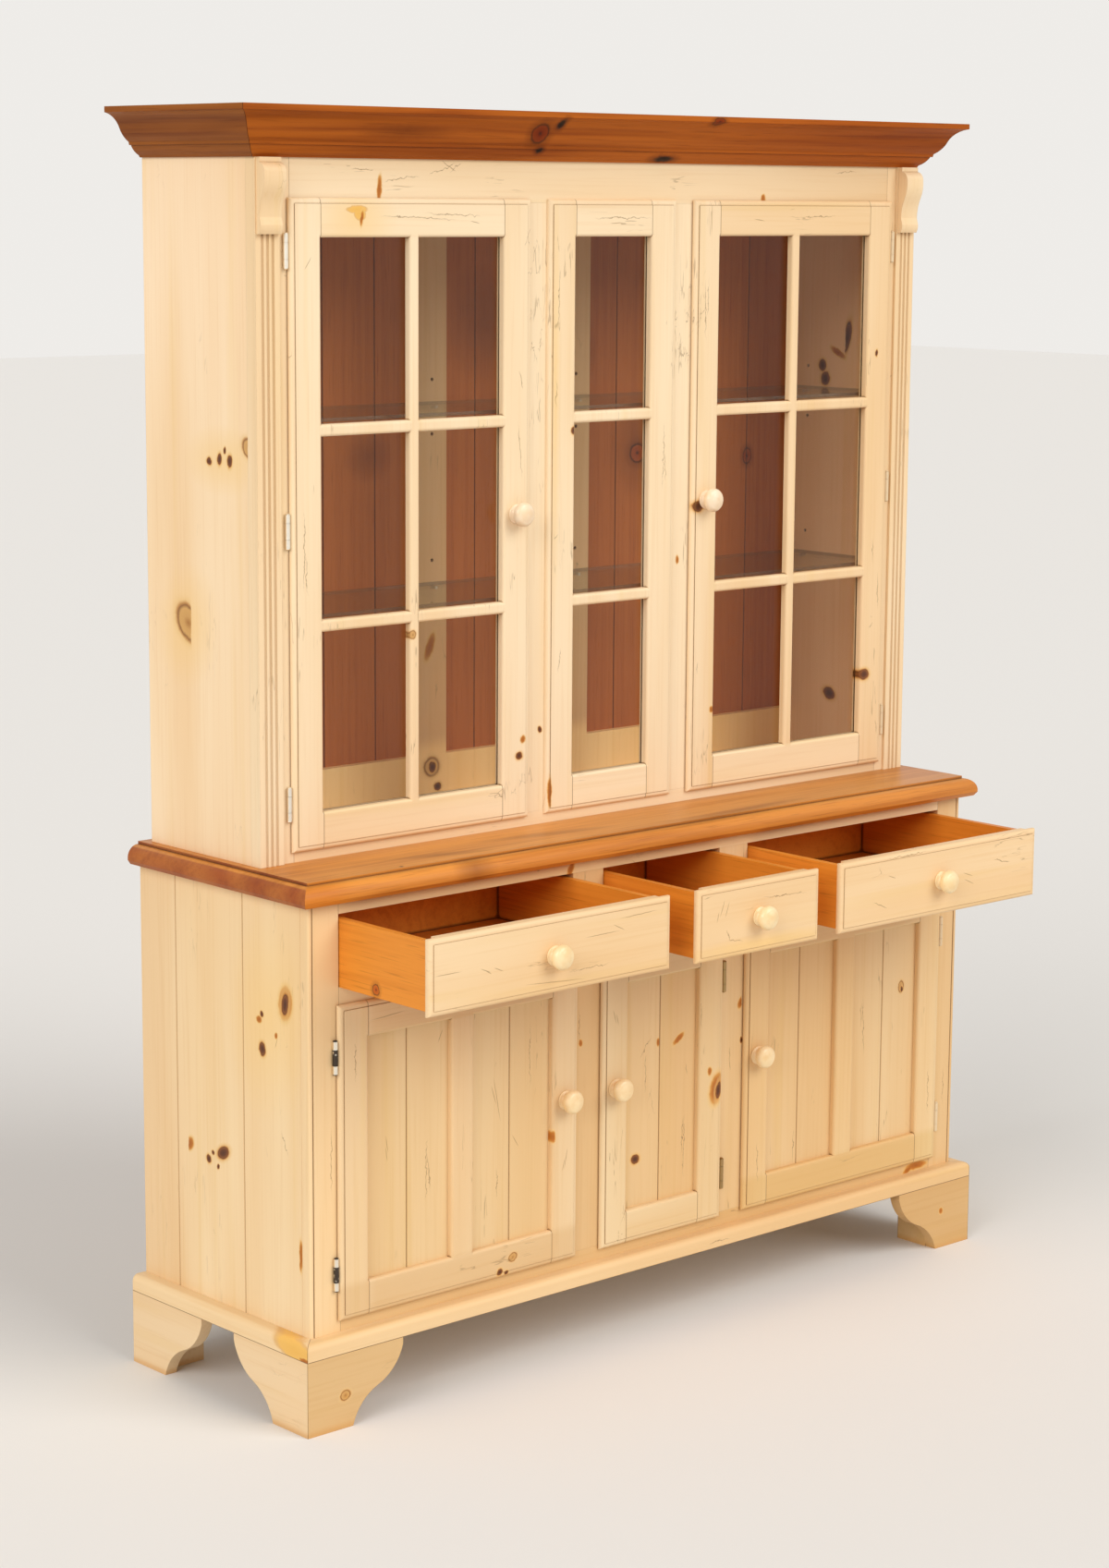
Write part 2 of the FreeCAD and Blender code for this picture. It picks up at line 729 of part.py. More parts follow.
def glazed_door():
    """The left upper door, hung on its left."""
    opening = (-glazed_outer_x, -mullion_x, glazed_z0, glazed_z1)
    members, filled, glass_y, back = framed_leaf(opening, hutch_front_y, lip_gap, upper_pane_columns,
                                                 upper_pane_rows, upper_stile, upper_rail, muntin,
                                                 glass_setback, True)
    glass, strips = glazing(filled, glass_y, back)
    top_hinge = hutch_opening_height - upper_hinge_above
    heights = (upper_hinge_below, (upper_hinge_below + top_hinge) / 2, top_hinge)
    frame_side, leaves = hinges(opening, hutch_front_y, heights)
    knob_x = opening[1] + lip_lap - upper_knob_from_edge
    turned = knob(knob_x, hutch_front_y - lip_gap - door_lip, opening[2] + upper_knob_height)
    door = {"frame": members + strips, "glass": glass, "knob": [turned], "hinge_leaves": leaves}
    return door, frame_side, door_catch(opening, hutch_front_y)


def panelled_door(opening, columns):
    """A lower door hung on its left, with grooved boards in its frame."""
    members, filled, panel_y, back = framed_leaf(opening, 0, lip_gap, columns, lower_panel_rows,
                                                 lower_stile, lower_rail, lower_middle_stile,
                                                 panel_setback, False)
    reach = rebate - rebate_clearance
    panels = []
    for x0, x1, z0, z1 in filled:
        panels += boards(x0 - reach, x1 + reach, panel_y, back, z0 - reach, z1 + reach, panel_board_count)
    heights = (lower_hinge_below, door_opening_height - lower_hinge_above)
    frame_side, leaves = hinges(opening, 0, heights)
    knob_x = opening[1] + lip_lap - lower_knob_from_edge
    turned = knob(knob_x, -lip_gap - door_lip, opening[2] + lower_knob_height)
    door = {"frame": members, "panels": panels, "knob": [turned], "hinge_leaves": leaves}
    return door, frame_side, door_catch(opening, 0)


def centre_panel():
    """The fixed glazed panel between the upper doors."""
    opening = (-centre_x, centre_x, glazed_z0, glazed_z1)
    members, filled, glass_y, back = framed_leaf(opening, hutch_front_y, 0, centre_pane_columns,
                                                 upper_pane_rows, upper_stile, upper_rail, muntin,
                                                 glass_setback, True)
    glass, strips = glazing(filled, glass_y, back)
    return members + strips, glass


def drawer(x0, x1, pull):
    """A drawer for an opening between x0 and x1, drawn out by pull."""
    lip_back = -drawer_stop_gap
    top = drawer_z1 - drawer_top_gap
    plate = moulded_plate((x0 - lip_lap, x1 + lip_lap, drawer_z0 - lip_lap, top), lip_back, drawer_lip)
    left = x0 + drawer_side_gap
    right = x1 - drawer_side_gap
    inner_left = left + drawer_side_thickness
    inner_right = right - drawer_side_thickness
    low = drawer_z0 + runner_gap
    high = drawer_z1 - drawer_side_top_gap
    front_back = lip_back + drawer_front_inset
    rear = base_back_y - drawer_back_gap
    front = plate.fuse(box(inner_left, inner_right, lip_back, front_back, low, top)).removeSplitter()
    bottom_z = low + drawer_bottom_rise
    bottom_top = bottom_z + drawer_bottom_thickness
    groove = box(inner_left - drawer_groove_depth, inner_right + drawer_groove_depth, front_back, rear,
                 bottom_z, bottom_top + drawer_groove_clearance)
    sides = [box(left, inner_left, lip_back, rear, low, high).cut(groove),
             box(inner_right, right, lip_back, rear, low, high).cut(groove)]
    bottom = box(inner_left - drawer_groove_depth, inner_right + drawer_groove_depth, front_back, rear,
                 bottom_z, bottom_top)
    back = box(inner_left, inner_right, rear - drawer_side_thickness, rear, bottom_top, high)
    turned = knob((x0 + x1) / 2, lip_back - drawer_lip, (drawer_z0 - lip_lap + top) / 2)
    pieces = {"front": [front], "box": sides + [bottom, back], "knob": [turned]}
    return {name: moved_forward(shapes, pull) for name, shapes in pieces.items()}


def write(name, shapes):
    compound = Part.makeCompound(shapes)
    compound.translate(vec(0, -origin_y, 0))
    compound.exportStep("parts/" + name + ".step")


def mirror_pieces(pieces):
    return {name: [mirrored(shape) for shape in shapes] for name, shapes in pieces.items()}


def main():
    os.makedirs("parts", exist_ok=True)
    nodes = {}
    side = base_side()
    nodes["base_side_left"] = side
    nodes["base_side_right"] = [mirrored(plank) for plank in side]
    nodes["base_partitions"] = base_partitions()
    nodes["base_floor"] = base_floor()
    nodes["base_shelves"] = base_shelves()
    nodes["base_back_boards"] = boards(-base_inner, base_inner, base_back_y, base_depth, case_z, counter_z0,
                                       base_back_board_count)
    nodes["base_frame_stiles"] = base_frame_stiles()
    nodes["base_frame_rails"] = base_frame_rails()
    nodes["drawer_runners"] = drawer_runners()
    nodes["plinth_moulding"] = plinth_moulding()
    nodes["front_feet"] = front_feet()
    nodes["back_feet"] = back_feet()
    nodes["countertop"] = countertop()

    nodes["hutch_side_left"] = [hutch_side()]
    nodes["hutch_side_right"] = [mirrored(hutch_side())]
    nodes["hutch_floor"] = [hutch_board(counter_z1, hutch_floor_z)]
    nodes["hutch_top"] = [hutch_board(hutch_ceiling(), hutch_top_z)]
    nodes["hutch_back_boards"] = boards(-hutch_inner, hutch_inner, hutch_boards_y, hutch_back_y, counter_z1,
                                        hutch_top_z, hutch_back_board_count)
    nodes["hutch_back_frame"] = hutch_back_frame()
    nodes["hutch_frame_stiles"] = hutch_frame_stiles()
    nodes["hutch_frame_rails"] = hutch_frame_rails()
    nodes["pilasters"] = pilasters()
    nodes["corbels"] = corbels()
    nodes["cornice"] = cornice()
    nodes["glass_shelves"] = glass_shelves()
    nodes["shelf_pins"] = shelf_pins()
    nodes["centre_panel_frame"], nodes["centre_panel_glass"] = centre_panel()

    left_opening = (-outer_x, -divider_x, door_z0, door_z1)
    middle_opening = (-middle_x, middle_x, door_z0, door_z1)
    upper, upper_hinges, upper_catch = glazed_door()
    outer, outer_hinges, outer_catch = panelled_door(left_opening, outer_panel_columns)
    middle, middle_hinges, middle_catch = panelled_door(middle_opening, middle_panel_columns)
    groups = {
        "upper_left_door": upper, "upper_right_door": mirror_pieces(upper),
        "lower_left_door": outer, "lower_right_door": mirror_pieces(outer),
        "lower_middle_door": mirror_pieces(middle),
        "left_drawer": drawer(-outer_x, -divider_x, outer_drawer_pull),
        "middle_drawer": drawer(-middle_x, middle_x, middle_drawer_pull),
        "right_drawer": drawer(divider_x, outer_x, outer_drawer_pull),
    }
    for group, pieces in groups.items():
        for piece, shapes in pieces.items():
            nodes[group + "_" + piece] = shapes
    leaves = []
    for leaf in upper_hinges + outer_hinges:
        leaves += both_sides(leaf)
    nodes["hinge_frame_leaves"] = leaves + [mirrored(leaf) for leaf in middle_hinges]
    nodes["door_catches"] = both_sides(upper_catch) + both_sides(outer_catch) + [mirrored(middle_catch)]

    for name, shapes in nodes.items():
        write(name, shapes)


main()
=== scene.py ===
# %% [markdown]
# # A painted pine china cabinet
#
# The cabinet is a glazed hutch on a lower case with drawers and doors. Its boards, doors, drawers, hinges and
# glass come from a CAD model at their real size, in metres, with every piece in its place. This lesson gives
# each of them its finish and adds the small metal pieces that a drawing of the joinery leaves out.

import json
import math

import bmesh
import bpy
from mathutils import Matrix, Vector


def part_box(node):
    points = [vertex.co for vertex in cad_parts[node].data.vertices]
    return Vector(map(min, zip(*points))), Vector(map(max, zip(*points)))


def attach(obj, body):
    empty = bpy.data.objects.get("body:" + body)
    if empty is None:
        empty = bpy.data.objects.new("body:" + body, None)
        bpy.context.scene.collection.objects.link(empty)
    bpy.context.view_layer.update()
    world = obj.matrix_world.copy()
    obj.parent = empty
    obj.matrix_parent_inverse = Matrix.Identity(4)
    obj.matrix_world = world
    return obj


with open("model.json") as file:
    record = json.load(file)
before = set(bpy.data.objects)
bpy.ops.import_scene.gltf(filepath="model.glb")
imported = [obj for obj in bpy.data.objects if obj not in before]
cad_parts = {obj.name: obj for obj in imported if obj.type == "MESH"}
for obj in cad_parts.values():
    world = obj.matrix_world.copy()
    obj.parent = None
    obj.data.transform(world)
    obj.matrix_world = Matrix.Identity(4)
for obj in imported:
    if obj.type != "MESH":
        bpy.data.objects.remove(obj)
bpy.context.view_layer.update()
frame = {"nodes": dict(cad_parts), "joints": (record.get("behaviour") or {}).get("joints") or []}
nodes = frame["nodes"]
scene = bpy.context.scene
scene.view_settings.view_transform = "Standard"
print("pieces of joinery:", len(nodes))

# %% [markdown]
# ## Writing shaders as sums
#
# A finish is a network of nodes, and a long network is hard to read as boxes and links. Here one small class
# holds a socket, and Python's own operators add the Math nodes: `1 - mask` is a Subtract node. Colours and
# vectors can't go through Math, which turns them grey, so they have the Mix node and their own methods. One
# method adds any other node: it takes the type, then the settings, and then what goes into the sockets.


# %% A socket that can be added and multiplied
class Wire:
    """An output socket of a material's node tree."""

    def __init__(self, tree, socket):
        self.tree = tree
        self.socket = socket

    def node(self, kind, settings, inputs, output=0):
        made = self.tree.nodes.new(kind)
        for name, value in settings.items():
            if name == "stops":
                Wire.set_stops(made.color_ramp, value)
            else:
                setattr(made, name, value)
        for name, value in inputs.items():
            if isinstance(value, Wire):
                self.tree.links.new(value.socket, made.inputs[name])
            else:
                made.inputs[name].default_value = value
        return Wire(self.tree, made.outputs[output]) if made.outputs else None

    @staticmethod
    def set_stops(ramp, stops):
        while len(ramp.elements) < len(stops):
            ramp.elements.new(1.0)
        for element, (position, color) in zip(ramp.elements, stops):
            element.position = position
            element.color = color

    def also(self, output):
        """Another output of the same node."""
        return Wire(self.tree, self.socket.node.outputs[output])

    def math(self, operation, first, second=0.0):
        return self.node("ShaderNodeMath", {"operation": operation}, {0: first, 1: second})

    def __add__(self, other):
        return self.math("ADD", self, other)

    def __radd__(self, other):
        return self.math("ADD", other, self)

    def __sub__(self, other):
        return self.math("SUBTRACT", self, other)

    def __rsub__(self, other):
        return self.math("SUBTRACT", other, self)

    def __mul__(self, other):
        return self.math("MULTIPLY", self, other)

    def __rmul__(self, other):
        return self.math("MULTIPLY", other, self)

    def __pow__(self, other):
        return self.math("POWER", self, other)

    def __abs__(self):
        return self.math("ABSOLUTE", self)

    def __gt__(self, other):
        return self.math("GREATER_THAN", self, other)

    def __lt__(self, other):
        return self.math("LESS_THAN", self, other)

    def least(self, other):
        return self.math("MINIMUM", self, other)

    def most(self, other):
        return self.math("MAXIMUM", self, other)

    def rise(self, low, high):
        """0 below low, 1 above high and a smooth step between them."""
        settings = {"interpolation_type": "SMOOTHSTEP"}
        return self.node("ShaderNodeMapRange", settings, {"Value": self, 1: low, 2: high})

    def blend(self, first, second):
        """A colour between two colours, with this value as the share of the second."""
        return self.node("ShaderNodeMix", {"data_type": "RGBA"}, {0: self, 6: first, 7: second}, 2)

    def shade(self, color, tint):
        """A colour multiplied by a tint where this value is 1."""
        settings = {"data_type": "RGBA", "blend_type": "MULTIPLY"}
        return self.node("ShaderNodeMix", settings, {0: self, 6: color, 7: tint}, 2)

    def axes(self):
        across = self.node("ShaderNodeSeparateXYZ", {}, {0: self})
        return across, across.also(1), across.also(2)

    def vector(self, first, second, third):
        return self.node("ShaderNodeCombineXYZ", {}, {0: first, 1: second, 2: third})

    def noise(self, scale, detail=2.0, roughness=0.5):
        inputs = {"Vector": self, "Scale": scale, "Detail": detail, "Roughness": roughness}
        return self.node("ShaderNodeTexNoise", {}, inputs)


# %% [markdown]
# ## Materials
#
# Every material starts the same way. It reads Object coordinates, which stay on a piece when a door swings or
# a drawer slides, and it ends in one Principled surface. The sharp edges of CAD look eased through a Bevel
# node, which bends only the normals, because rounding the meshes themselves would change the joinery.

# %% A new material and its surface
EASED_EDGE = 0.0012
BEVEL_SAMPLES = 4


def new_material(name):
    """A material with only its Object coordinates."""
    material = bpy.data.materials.new(name)
    material.use_nodes = True
    material.node_tree.nodes.clear()
    coordinates = material.node_tree.nodes.new("ShaderNodeTexCoord")
    return material, Wire(material.node_tree, coordinates.outputs["Object"])


def surface(at, inputs, height=None, bump=0.0, depth=0.0, round_edge=0.0):
    """A Principled surface. Height is a relief in shares of depth, and sharp edges can look eased."""
    inputs = dict(inputs)
    if round_edge:
        inputs["Normal"] = at.node("ShaderNodeBevel", {"samples": BEVEL_SAMPLES}, {"Radius": round_edge})
    if height is not None:
        relief = {"Strength": bump, "Distance": depth, "Height": height}
        if round_edge:
            relief["Normal"] = inputs["Normal"]
        inputs["Normal"] = at.node("ShaderNodeBump", {}, relief)
    shader = at.node("ShaderNodeBsdfPrincipled", {}, inputs)
    at.node("ShaderNodeOutputMaterial", {}, {"Surface": shader})


def give(material, *names):
    """Puts a material on pieces of the joinery."""
    for name in names:
        nodes[name].data.materials.clear()
        nodes[name].data.materials.append(material)


# %% [markdown]
# ## Where the doors' rails are
#
# A door's frame is one piece of CAD, but its stiles stand with upright grain and its rails lie with level
# grain, and a fine line shows where they meet. The box of the frame and the widths of its members are enough
# to say where the rails are, so the finish can turn its grain there.

# %% Widths of the doors' members
UPPER_STILE, UPPER_RAIL = 0.059, 0.060
LOWER_STILE, LOWER_RAIL = 0.057, 0.057


def rails_of(node):
    """Where a door's stiles end and its rails begin: left, right, low, high."""
    lower = node.startswith("lower")
    stile = LOWER_STILE if lower else UPPER_STILE
    rail = LOWER_RAIL if lower else UPPER_RAIL
    low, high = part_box(node)
    return (low.x + stile, high.x - stile, low.z + rail, high.z - rail)


print("upper left door's rails:", [round(place, 3) for place in rails_of("upper_left_door_frame")])

# %% [markdown]
# ## Knots and other marks
#
# A knot is where a branch ran through the board. The darkest are brown with an amber edge, others are tan
# inside a dark ring, and some places are only amber, where resin or bare wood comes through the paint. Fine
# scratches were made on purpose, to look old. Each mark is an ellipse with its own place, size and tilt, and
# all marks of one kind on a piece share a colour ramp over the distance from the nearest of them, where 0.5
# is a mark's edge. A picture of the boards could show them too, but a ramp stays sharp at any size. Some
# knots are cut off straight at a glue line, because a board ends there.

# %% The kinds of marks
PAINT_MARKS = {
    "honey": [
        (0.00, (0.86, 0.56, 0.20, 0.60)), (0.50, (0.86, 0.56, 0.20, 0.30)), (0.95, (0.86, 0.56, 0.20, 0.0)),
    ],
    "worn": [
        (0.00, (0.80, 0.44, 0.08, 0.95)), (0.40, (0.82, 0.46, 0.09, 0.9)), (0.50, (0.66, 0.33, 0.07, 0.6)),
        (0.60, (0.80, 0.55, 0.25, 0.0)),
    ],
    "amber": [
        (0.00, (0.38, 0.11, 0.012, 1.0)), (0.32, (0.48, 0.16, 0.018, 1.0)), (0.46, (0.62, 0.27, 0.04, 0.9)),
        (0.54, (0.76, 0.45, 0.13, 0.5)), (0.74, (0.82, 0.58, 0.26, 0.0)),
    ],
    "ring": [
        (0.00, (0.38, 0.16, 0.036, 1.0)), (0.18, (0.56, 0.29, 0.08, 0.9)), (0.36, (0.60, 0.32, 0.09, 0.9)),
        (0.44, (0.24, 0.092, 0.022, 0.95)), (0.50, (0.48, 0.21, 0.045, 0.85)),
        (0.58, (0.74, 0.45, 0.16, 0.4)), (0.80, (0.82, 0.58, 0.28, 0.0)),
    ],
    "dark": [
        (0.00, (0.075, 0.022, 0.006, 1.0)), (0.26, (0.13, 0.038, 0.01, 1.0)),
        (0.38, (0.24, 0.08, 0.018, 1.0)), (0.44, (0.13, 0.04, 0.01, 1.0)),
        (0.51, (0.54, 0.225, 0.044, 0.95)), (0.60, (0.74, 0.43, 0.13, 0.6)), (0.90, (0.82, 0.58, 0.28, 0.0)),
    ],
    "crack": [
        (0.00, (0.24, 0.135, 0.055, 0.70)), (0.42, (0.24, 0.135, 0.055, 0.66)),
        (0.66, (0.30, 0.17, 0.07, 0.0)),
    ],
    "scratch": [
        (0.00, (0.28, 0.16, 0.066, 0.66)), (0.40, (0.28, 0.16, 0.066, 0.62)), (0.66, (0.30, 0.17, 0.07, 0.0)),
    ],
}
print("kinds of marks:", ", ".join(PAINT_MARKS))

# %% One mark
LINE_WIDTH = 0.0012


def mark(kind, across, up, wide, tall, tilt=0.0, cut=None):
    """A mark on a face, in metres. cut is (side, place): it shows only on that side of the place."""
    return (kind, across, up, wide, tall, tilt, cut)


def crack(across, up, length, angle=90.0):
    """A crack in the paint. An angle of 0 is level and 90 is upright."""
    return mark("crack", across, up, LINE_WIDTH, length, angle - 90.0)


def scratch(across, up, length, angle=90.0):
    """A scratch in the paint, with the angles of a crack."""
    return mark("scratch", across, up, LINE_WIDTH, length, angle - 90.0)


# %% [markdown]
# The distance from a mark is that from the centre of a circle, once the ellipse is turned upright and
# stretched round. Noise shifts the place before it is measured, which keeps the outlines from being plain
# ellipses: knots wander a little, and cracks a lot.

# %% Lay the marks over a colour
WANDER = {"crack": (95.0, 0.012), "scratch": (60.0, 0.0024)}
KNOT_WANDER = (80.0, 0.006)
FAR_AWAY = 9.0
RAMP_REACH = 2.0


def least_of(wires):
    """The smallest of several values."""
    best = wires[0]
    for other in wires[1:]:
        best = best.least(other)
    return best


def distance_from(u, v, spot):
    """The distance from a mark's centre, where 1 is its edge."""
    across, up, wide, tall, tilt, cut = spot[1:]
    du, dv = u - across, v - up
    if tilt:
        turn_cos, turn_sin = math.cos(math.radians(tilt)), math.sin(math.radians(tilt))
        du, dv = du * turn_cos + dv * turn_sin, dv * turn_cos - du * turn_sin
    du, dv = du * (2 / wide), dv * (2 / tall)
    distance = (du * du + dv * dv) ** 0.5
    if cut:
        side, place = cut
        distance = distance + ((u - place) * side < 0.0) * FAR_AWAY
    return distance


def add_marks(at, face, marks, stops, color):
    """Lays every kind of mark over a colour."""
    x, y, z = at.axes()
    u, v = {"xz": (x, z), "yz": (y, z), "xy": (x, y), "corner": (y - x, z)}[face]
    for kind in stops:
        spots = [spot for spot in marks if spot[0] == kind]
        if spots:
            scale, reach = WANDER.get(kind, KNOT_WANDER)
            wander = at.noise(scale, 4.0, 0.6) - 0.5
            moved_u, moved_v = u + wander * reach, v - wander * reach
            distance = least_of([distance_from(moved_u, moved_v, spot) for spot in spots])
            ramp = at.node("ShaderNodeValToRGB", {"stops": stops[kind]}, {"Fac": distance * (1 / RAMP_REACH)})
            color = ramp.also("Alpha").blend(color, ramp)
    return color


# %% [markdown]
# ## Patterns that follow the grain
#
# Wood is drawn out along its grain, and so is everything that shows through thin paint. A pattern gets that
# look when the coordinates across the grain are multiplied by much more than those along it. The grain of a
# door turns at its rails, and that of a mitred moulding turns at the corner, so the coordinates are swapped
# there before any pattern reads them.

# %% Coordinates that lie along the grain
def grain_lie(at, grain, rails=None, mitre=None):
    """Coordinates along the grain, across it and into the board."""
    x, y, z = at.axes()
    if rails:
        left, right, low, high = rails
        level = (x > left) * (x < right) * (1 - (z > low) * (z < high))
        return z + (x - z) * level, x + (z - x) * level, y
    if mitre is not None:
        side = abs(x) + y > mitre
        return x + (y - x) * side, z, y + (x - y) * side
    return {"x": (x, z, y), "y": (y, x, z), "z": (z, x, y)}[grain]


def stretched(lie, scales, shift=0.0):
    """Coordinates for a pattern. The scales are across the grain and along it."""
    along, across, depth = lie
    fine, long = scales
    return along.vector(across * fine, depth * fine, along * long + shift)


# %% [markdown]
# ## Antiqued cream paint
#
# The paint is a thin cream coat over pine. Broad warm and pale drifts follow the boards, and yellow streaks
# follow the grain. Every groove, step and flute is darker, golden in the shallow ones and brown in the deep
# ones: partly a glaze that was wiped over the paint and stays there, and partly painted shade. An Ambient
# Occlusion node that sees only its own piece finds the hollows, so no groove has to be listed. Where pieces
# of wood meet, a fine dark line is drawn at a distance of nearly nothing from the joint.

# %% Hollows, joints and tints
HOLLOW_SAMPLES = 8
JOINT_WIDTH = 0.0006
PLAIN_TINT = (1.0, 1.0, 1.0)


def hollows(at, reach):
    """0 on an open face, and nearer to 1 the more of its own piece a place sees within the reach."""
    settings = {"samples": HOLLOW_SAMPLES, "only_local": True}
    return 1 - at.node("ShaderNodeAmbientOcclusion", settings, {"Distance": reach}, 1)


def joint_lines(at, rails=None, uprights=(), levels=(), mitre=None):
    """The distances from the joints that show on a piece."""
    x, y, z = at.axes()
    lines = [abs(x - place) for place in uprights] + [abs(z - place) for place in levels]
    if mitre is not None:
        lines.append(abs(abs(x) + y - mitre))
    if rails:
        left, right, low, high = rails
        lines.append(abs(x - left).least(abs(x - right)) + (z > low) * (z < high))
    return lines


def seam_in(lines):
    """1 on the nearest joint and 0 beside it."""
    return 1 - least_of(lines).rise(JOINT_WIDTH * 0.5, JOINT_WIDTH * 1.5)


def tinted(color, tint):
    """A colour, part by part multiplied by a tint."""
    return tuple(part * share for part, share in zip(color[:3], tint)) + (1.0,)


def add_fades(at, fades, color):
    """Tints that come in along an axis, from one place to another."""
    axes = dict(zip("xyz", at.axes()))
    for axis, start, end, tint in fades:
        color = axes[axis].rise(start, end).shade(color, tint + (1.0,))
    return color


# %% [markdown]
# Fine cracks come in loose clusters. The hairlines are where a stretched noise passes its middle, and the
# jagged cracks are edges of Voronoi cells that noise bends and breaks up. A real crack is a gap in the paint,
# but it is too thin to model, so it is a dark line that also dents the surface.

# %% Cracks in the paint
HAIR_SCALES = (95.0, 8.0)
HAIR_CLUSTERS = (17.0, 5.0)
JAG_SCALES = (72.0, 26.0)
JAG_CLUSTERS = (15.0, 5.0)
HAIR_STRENGTH = 0.42
JAG_STRENGTH = 0.6


def cracks_in(lie):
    """Hairlines with the grain and a few short jagged cracks."""
    hair = stretched(lie, HAIR_SCALES).noise(1.0, 2.0)
    hairline = 1 - abs(hair - 0.5).rise(0.006, 0.022)
    hair_cluster = stretched(lie, HAIR_CLUSTERS).noise(1.0, 1.0).rise(0.60, 0.68)
    jag = stretched(lie, JAG_SCALES)
    push = jag.noise(1.3, 2.0) * 0.9
    bent = jag.node("ShaderNodeVectorMath", {"operation": "ADD"}, {0: jag, 1: push})
    edge = jag.node("ShaderNodeTexVoronoi", {"feature": "DISTANCE_TO_EDGE"}, {"Vector": bent, "Scale": 1.0})
    jagged = 1 - edge.rise(0.006, 0.026)
    jag_cluster = stretched(lie, JAG_CLUSTERS).noise(1.0, 1.0).rise(0.69, 0.74)
    broken = jag.noise(0.9, 1.0).rise(0.49, 0.55)
    hairs = hairline * hair_cluster * broken * HAIR_STRENGTH
    return (jagged * broken * jag_cluster * JAG_STRENGTH).most(hairs)


# %% The cream paint
PALE_CREAM = (0.900, 0.715, 0.475, 1.0)
WARM_CREAM = (0.835, 0.595, 0.335, 1.0)
GRAIN_CREAM = (0.720, 0.450, 0.190, 1.0)
YELLOW_STREAK = (0.800, 0.560, 0.210, 1.0)
RUBBED_WOOD = (0.600, 0.290, 0.070, 1.0)
CRACK_BROWN = (0.200, 0.115, 0.045, 1.0)
# Colours and reach of the darker hollows: partly the glaze the paint holds there, partly painted shade.
BROWN_GLAZE_AND_SHADE = (0.150, 0.062, 0.018, 1.0)
GOLD_GLAZE_AND_SHADE = (0.430, 0.215, 0.068, 1.0)
GLAZE_AND_SHADE_REACH = 0.005
DRIFT_SCALES = (7.0, 0.9)
BAND_SCALES = (32.0, 1.1)
STREAK_SCALES = (190.0, 4.0)
BAND_SHARE = 0.30
STREAK_SHARE = 0.21
RUBBED_SHARE = 0.55
GOLD_SHARE = 0.65
SEAM_SHARE = 0.72
PAINT_RELIEF = 0.0005


def cream_color(lie, streak, tint):
    """The colour of the paint before it was aged."""
    drift = stretched(lie, DRIFT_SCALES).noise(1.0, 2.0).rise(0.30, 0.72)
    band = stretched(lie, BAND_SCALES).noise(1.0, 2.0).rise(0.54, 0.78)
    color = drift.blend(tinted(PALE_CREAM, tint), tinted(WARM_CREAM, tint))
    color = (band * BAND_SHARE).blend(color, tinted(YELLOW_STREAK, tint))
    return (streak.rise(0.46, 0.78) * STREAK_SHARE).blend(color, tinted(GRAIN_CREAM, tint))


def cream_paint(name, grain="z", face="xz", marks=(), rails=None, tint=PLAIN_TINT, uprights=(), levels=(),
                mitre=None, front_tint=None, worn_below=None, cracked=1.0, glazed=0.88, fades=()):
    """Antiqued cream paint for one piece, with the marks and the joint lines that this piece shows."""
    material, at = new_material(name)
    x, y, z = at.axes()
    lie = grain_lie(at, grain, rails, mitre)
    streak = stretched(lie, STREAK_SCALES).noise(1.0, 3.0)
    color = cream_color(lie, streak, tint)
    if front_tint:
        color = (abs(x) + y < mitre).shade(color, front_tint + (1.0,))
    color = add_marks(at, face, marks, PAINT_MARKS, add_fades(at, fades, color))
    if worn_below is not None:
        rubbed = 1 - (z + streak * 0.010).rise(worn_below * 0.6, worn_below * 1.6)
        color = (rubbed * RUBBED_SHARE).blend(color, RUBBED_WOOD)
    cracks = cracks_in(lie) * cracked
    color = cracks.blend(color, CRACK_BROWN)
    # Hollows turn golden, then brown: partly glaze and partly painted shade.
    hollow = hollows(at, GLAZE_AND_SHADE_REACH)
    color = (hollow.rise(0.10, 0.30) * glazed * GOLD_SHARE).blend(color, GOLD_GLAZE_AND_SHADE)
    glaze_and_shade = hollow.rise(0.28, 0.52)
    color = (glaze_and_shade * glazed).blend(color, BROWN_GLAZE_AND_SHADE)
    height = streak * 0.35 - cracks
    lines = joint_lines(at, rails, uprights, levels, mitre)
    if lines:
        seam = seam_in(lines)
        color = (seam * SEAM_SHARE).blend(color, BROWN_GLAZE_AND_SHADE)
        height = height - seam
    roughness = 0.44 + streak * 0.14 + glaze_and_shade * 0.15
    inputs = {"Base Color": color, "Roughness": roughness, "Specular IOR Level": 0.32}
    surface(at, inputs, height, bump=0.45, depth=PAINT_RELIEF, round_edge=EASED_EDGE)
    return material
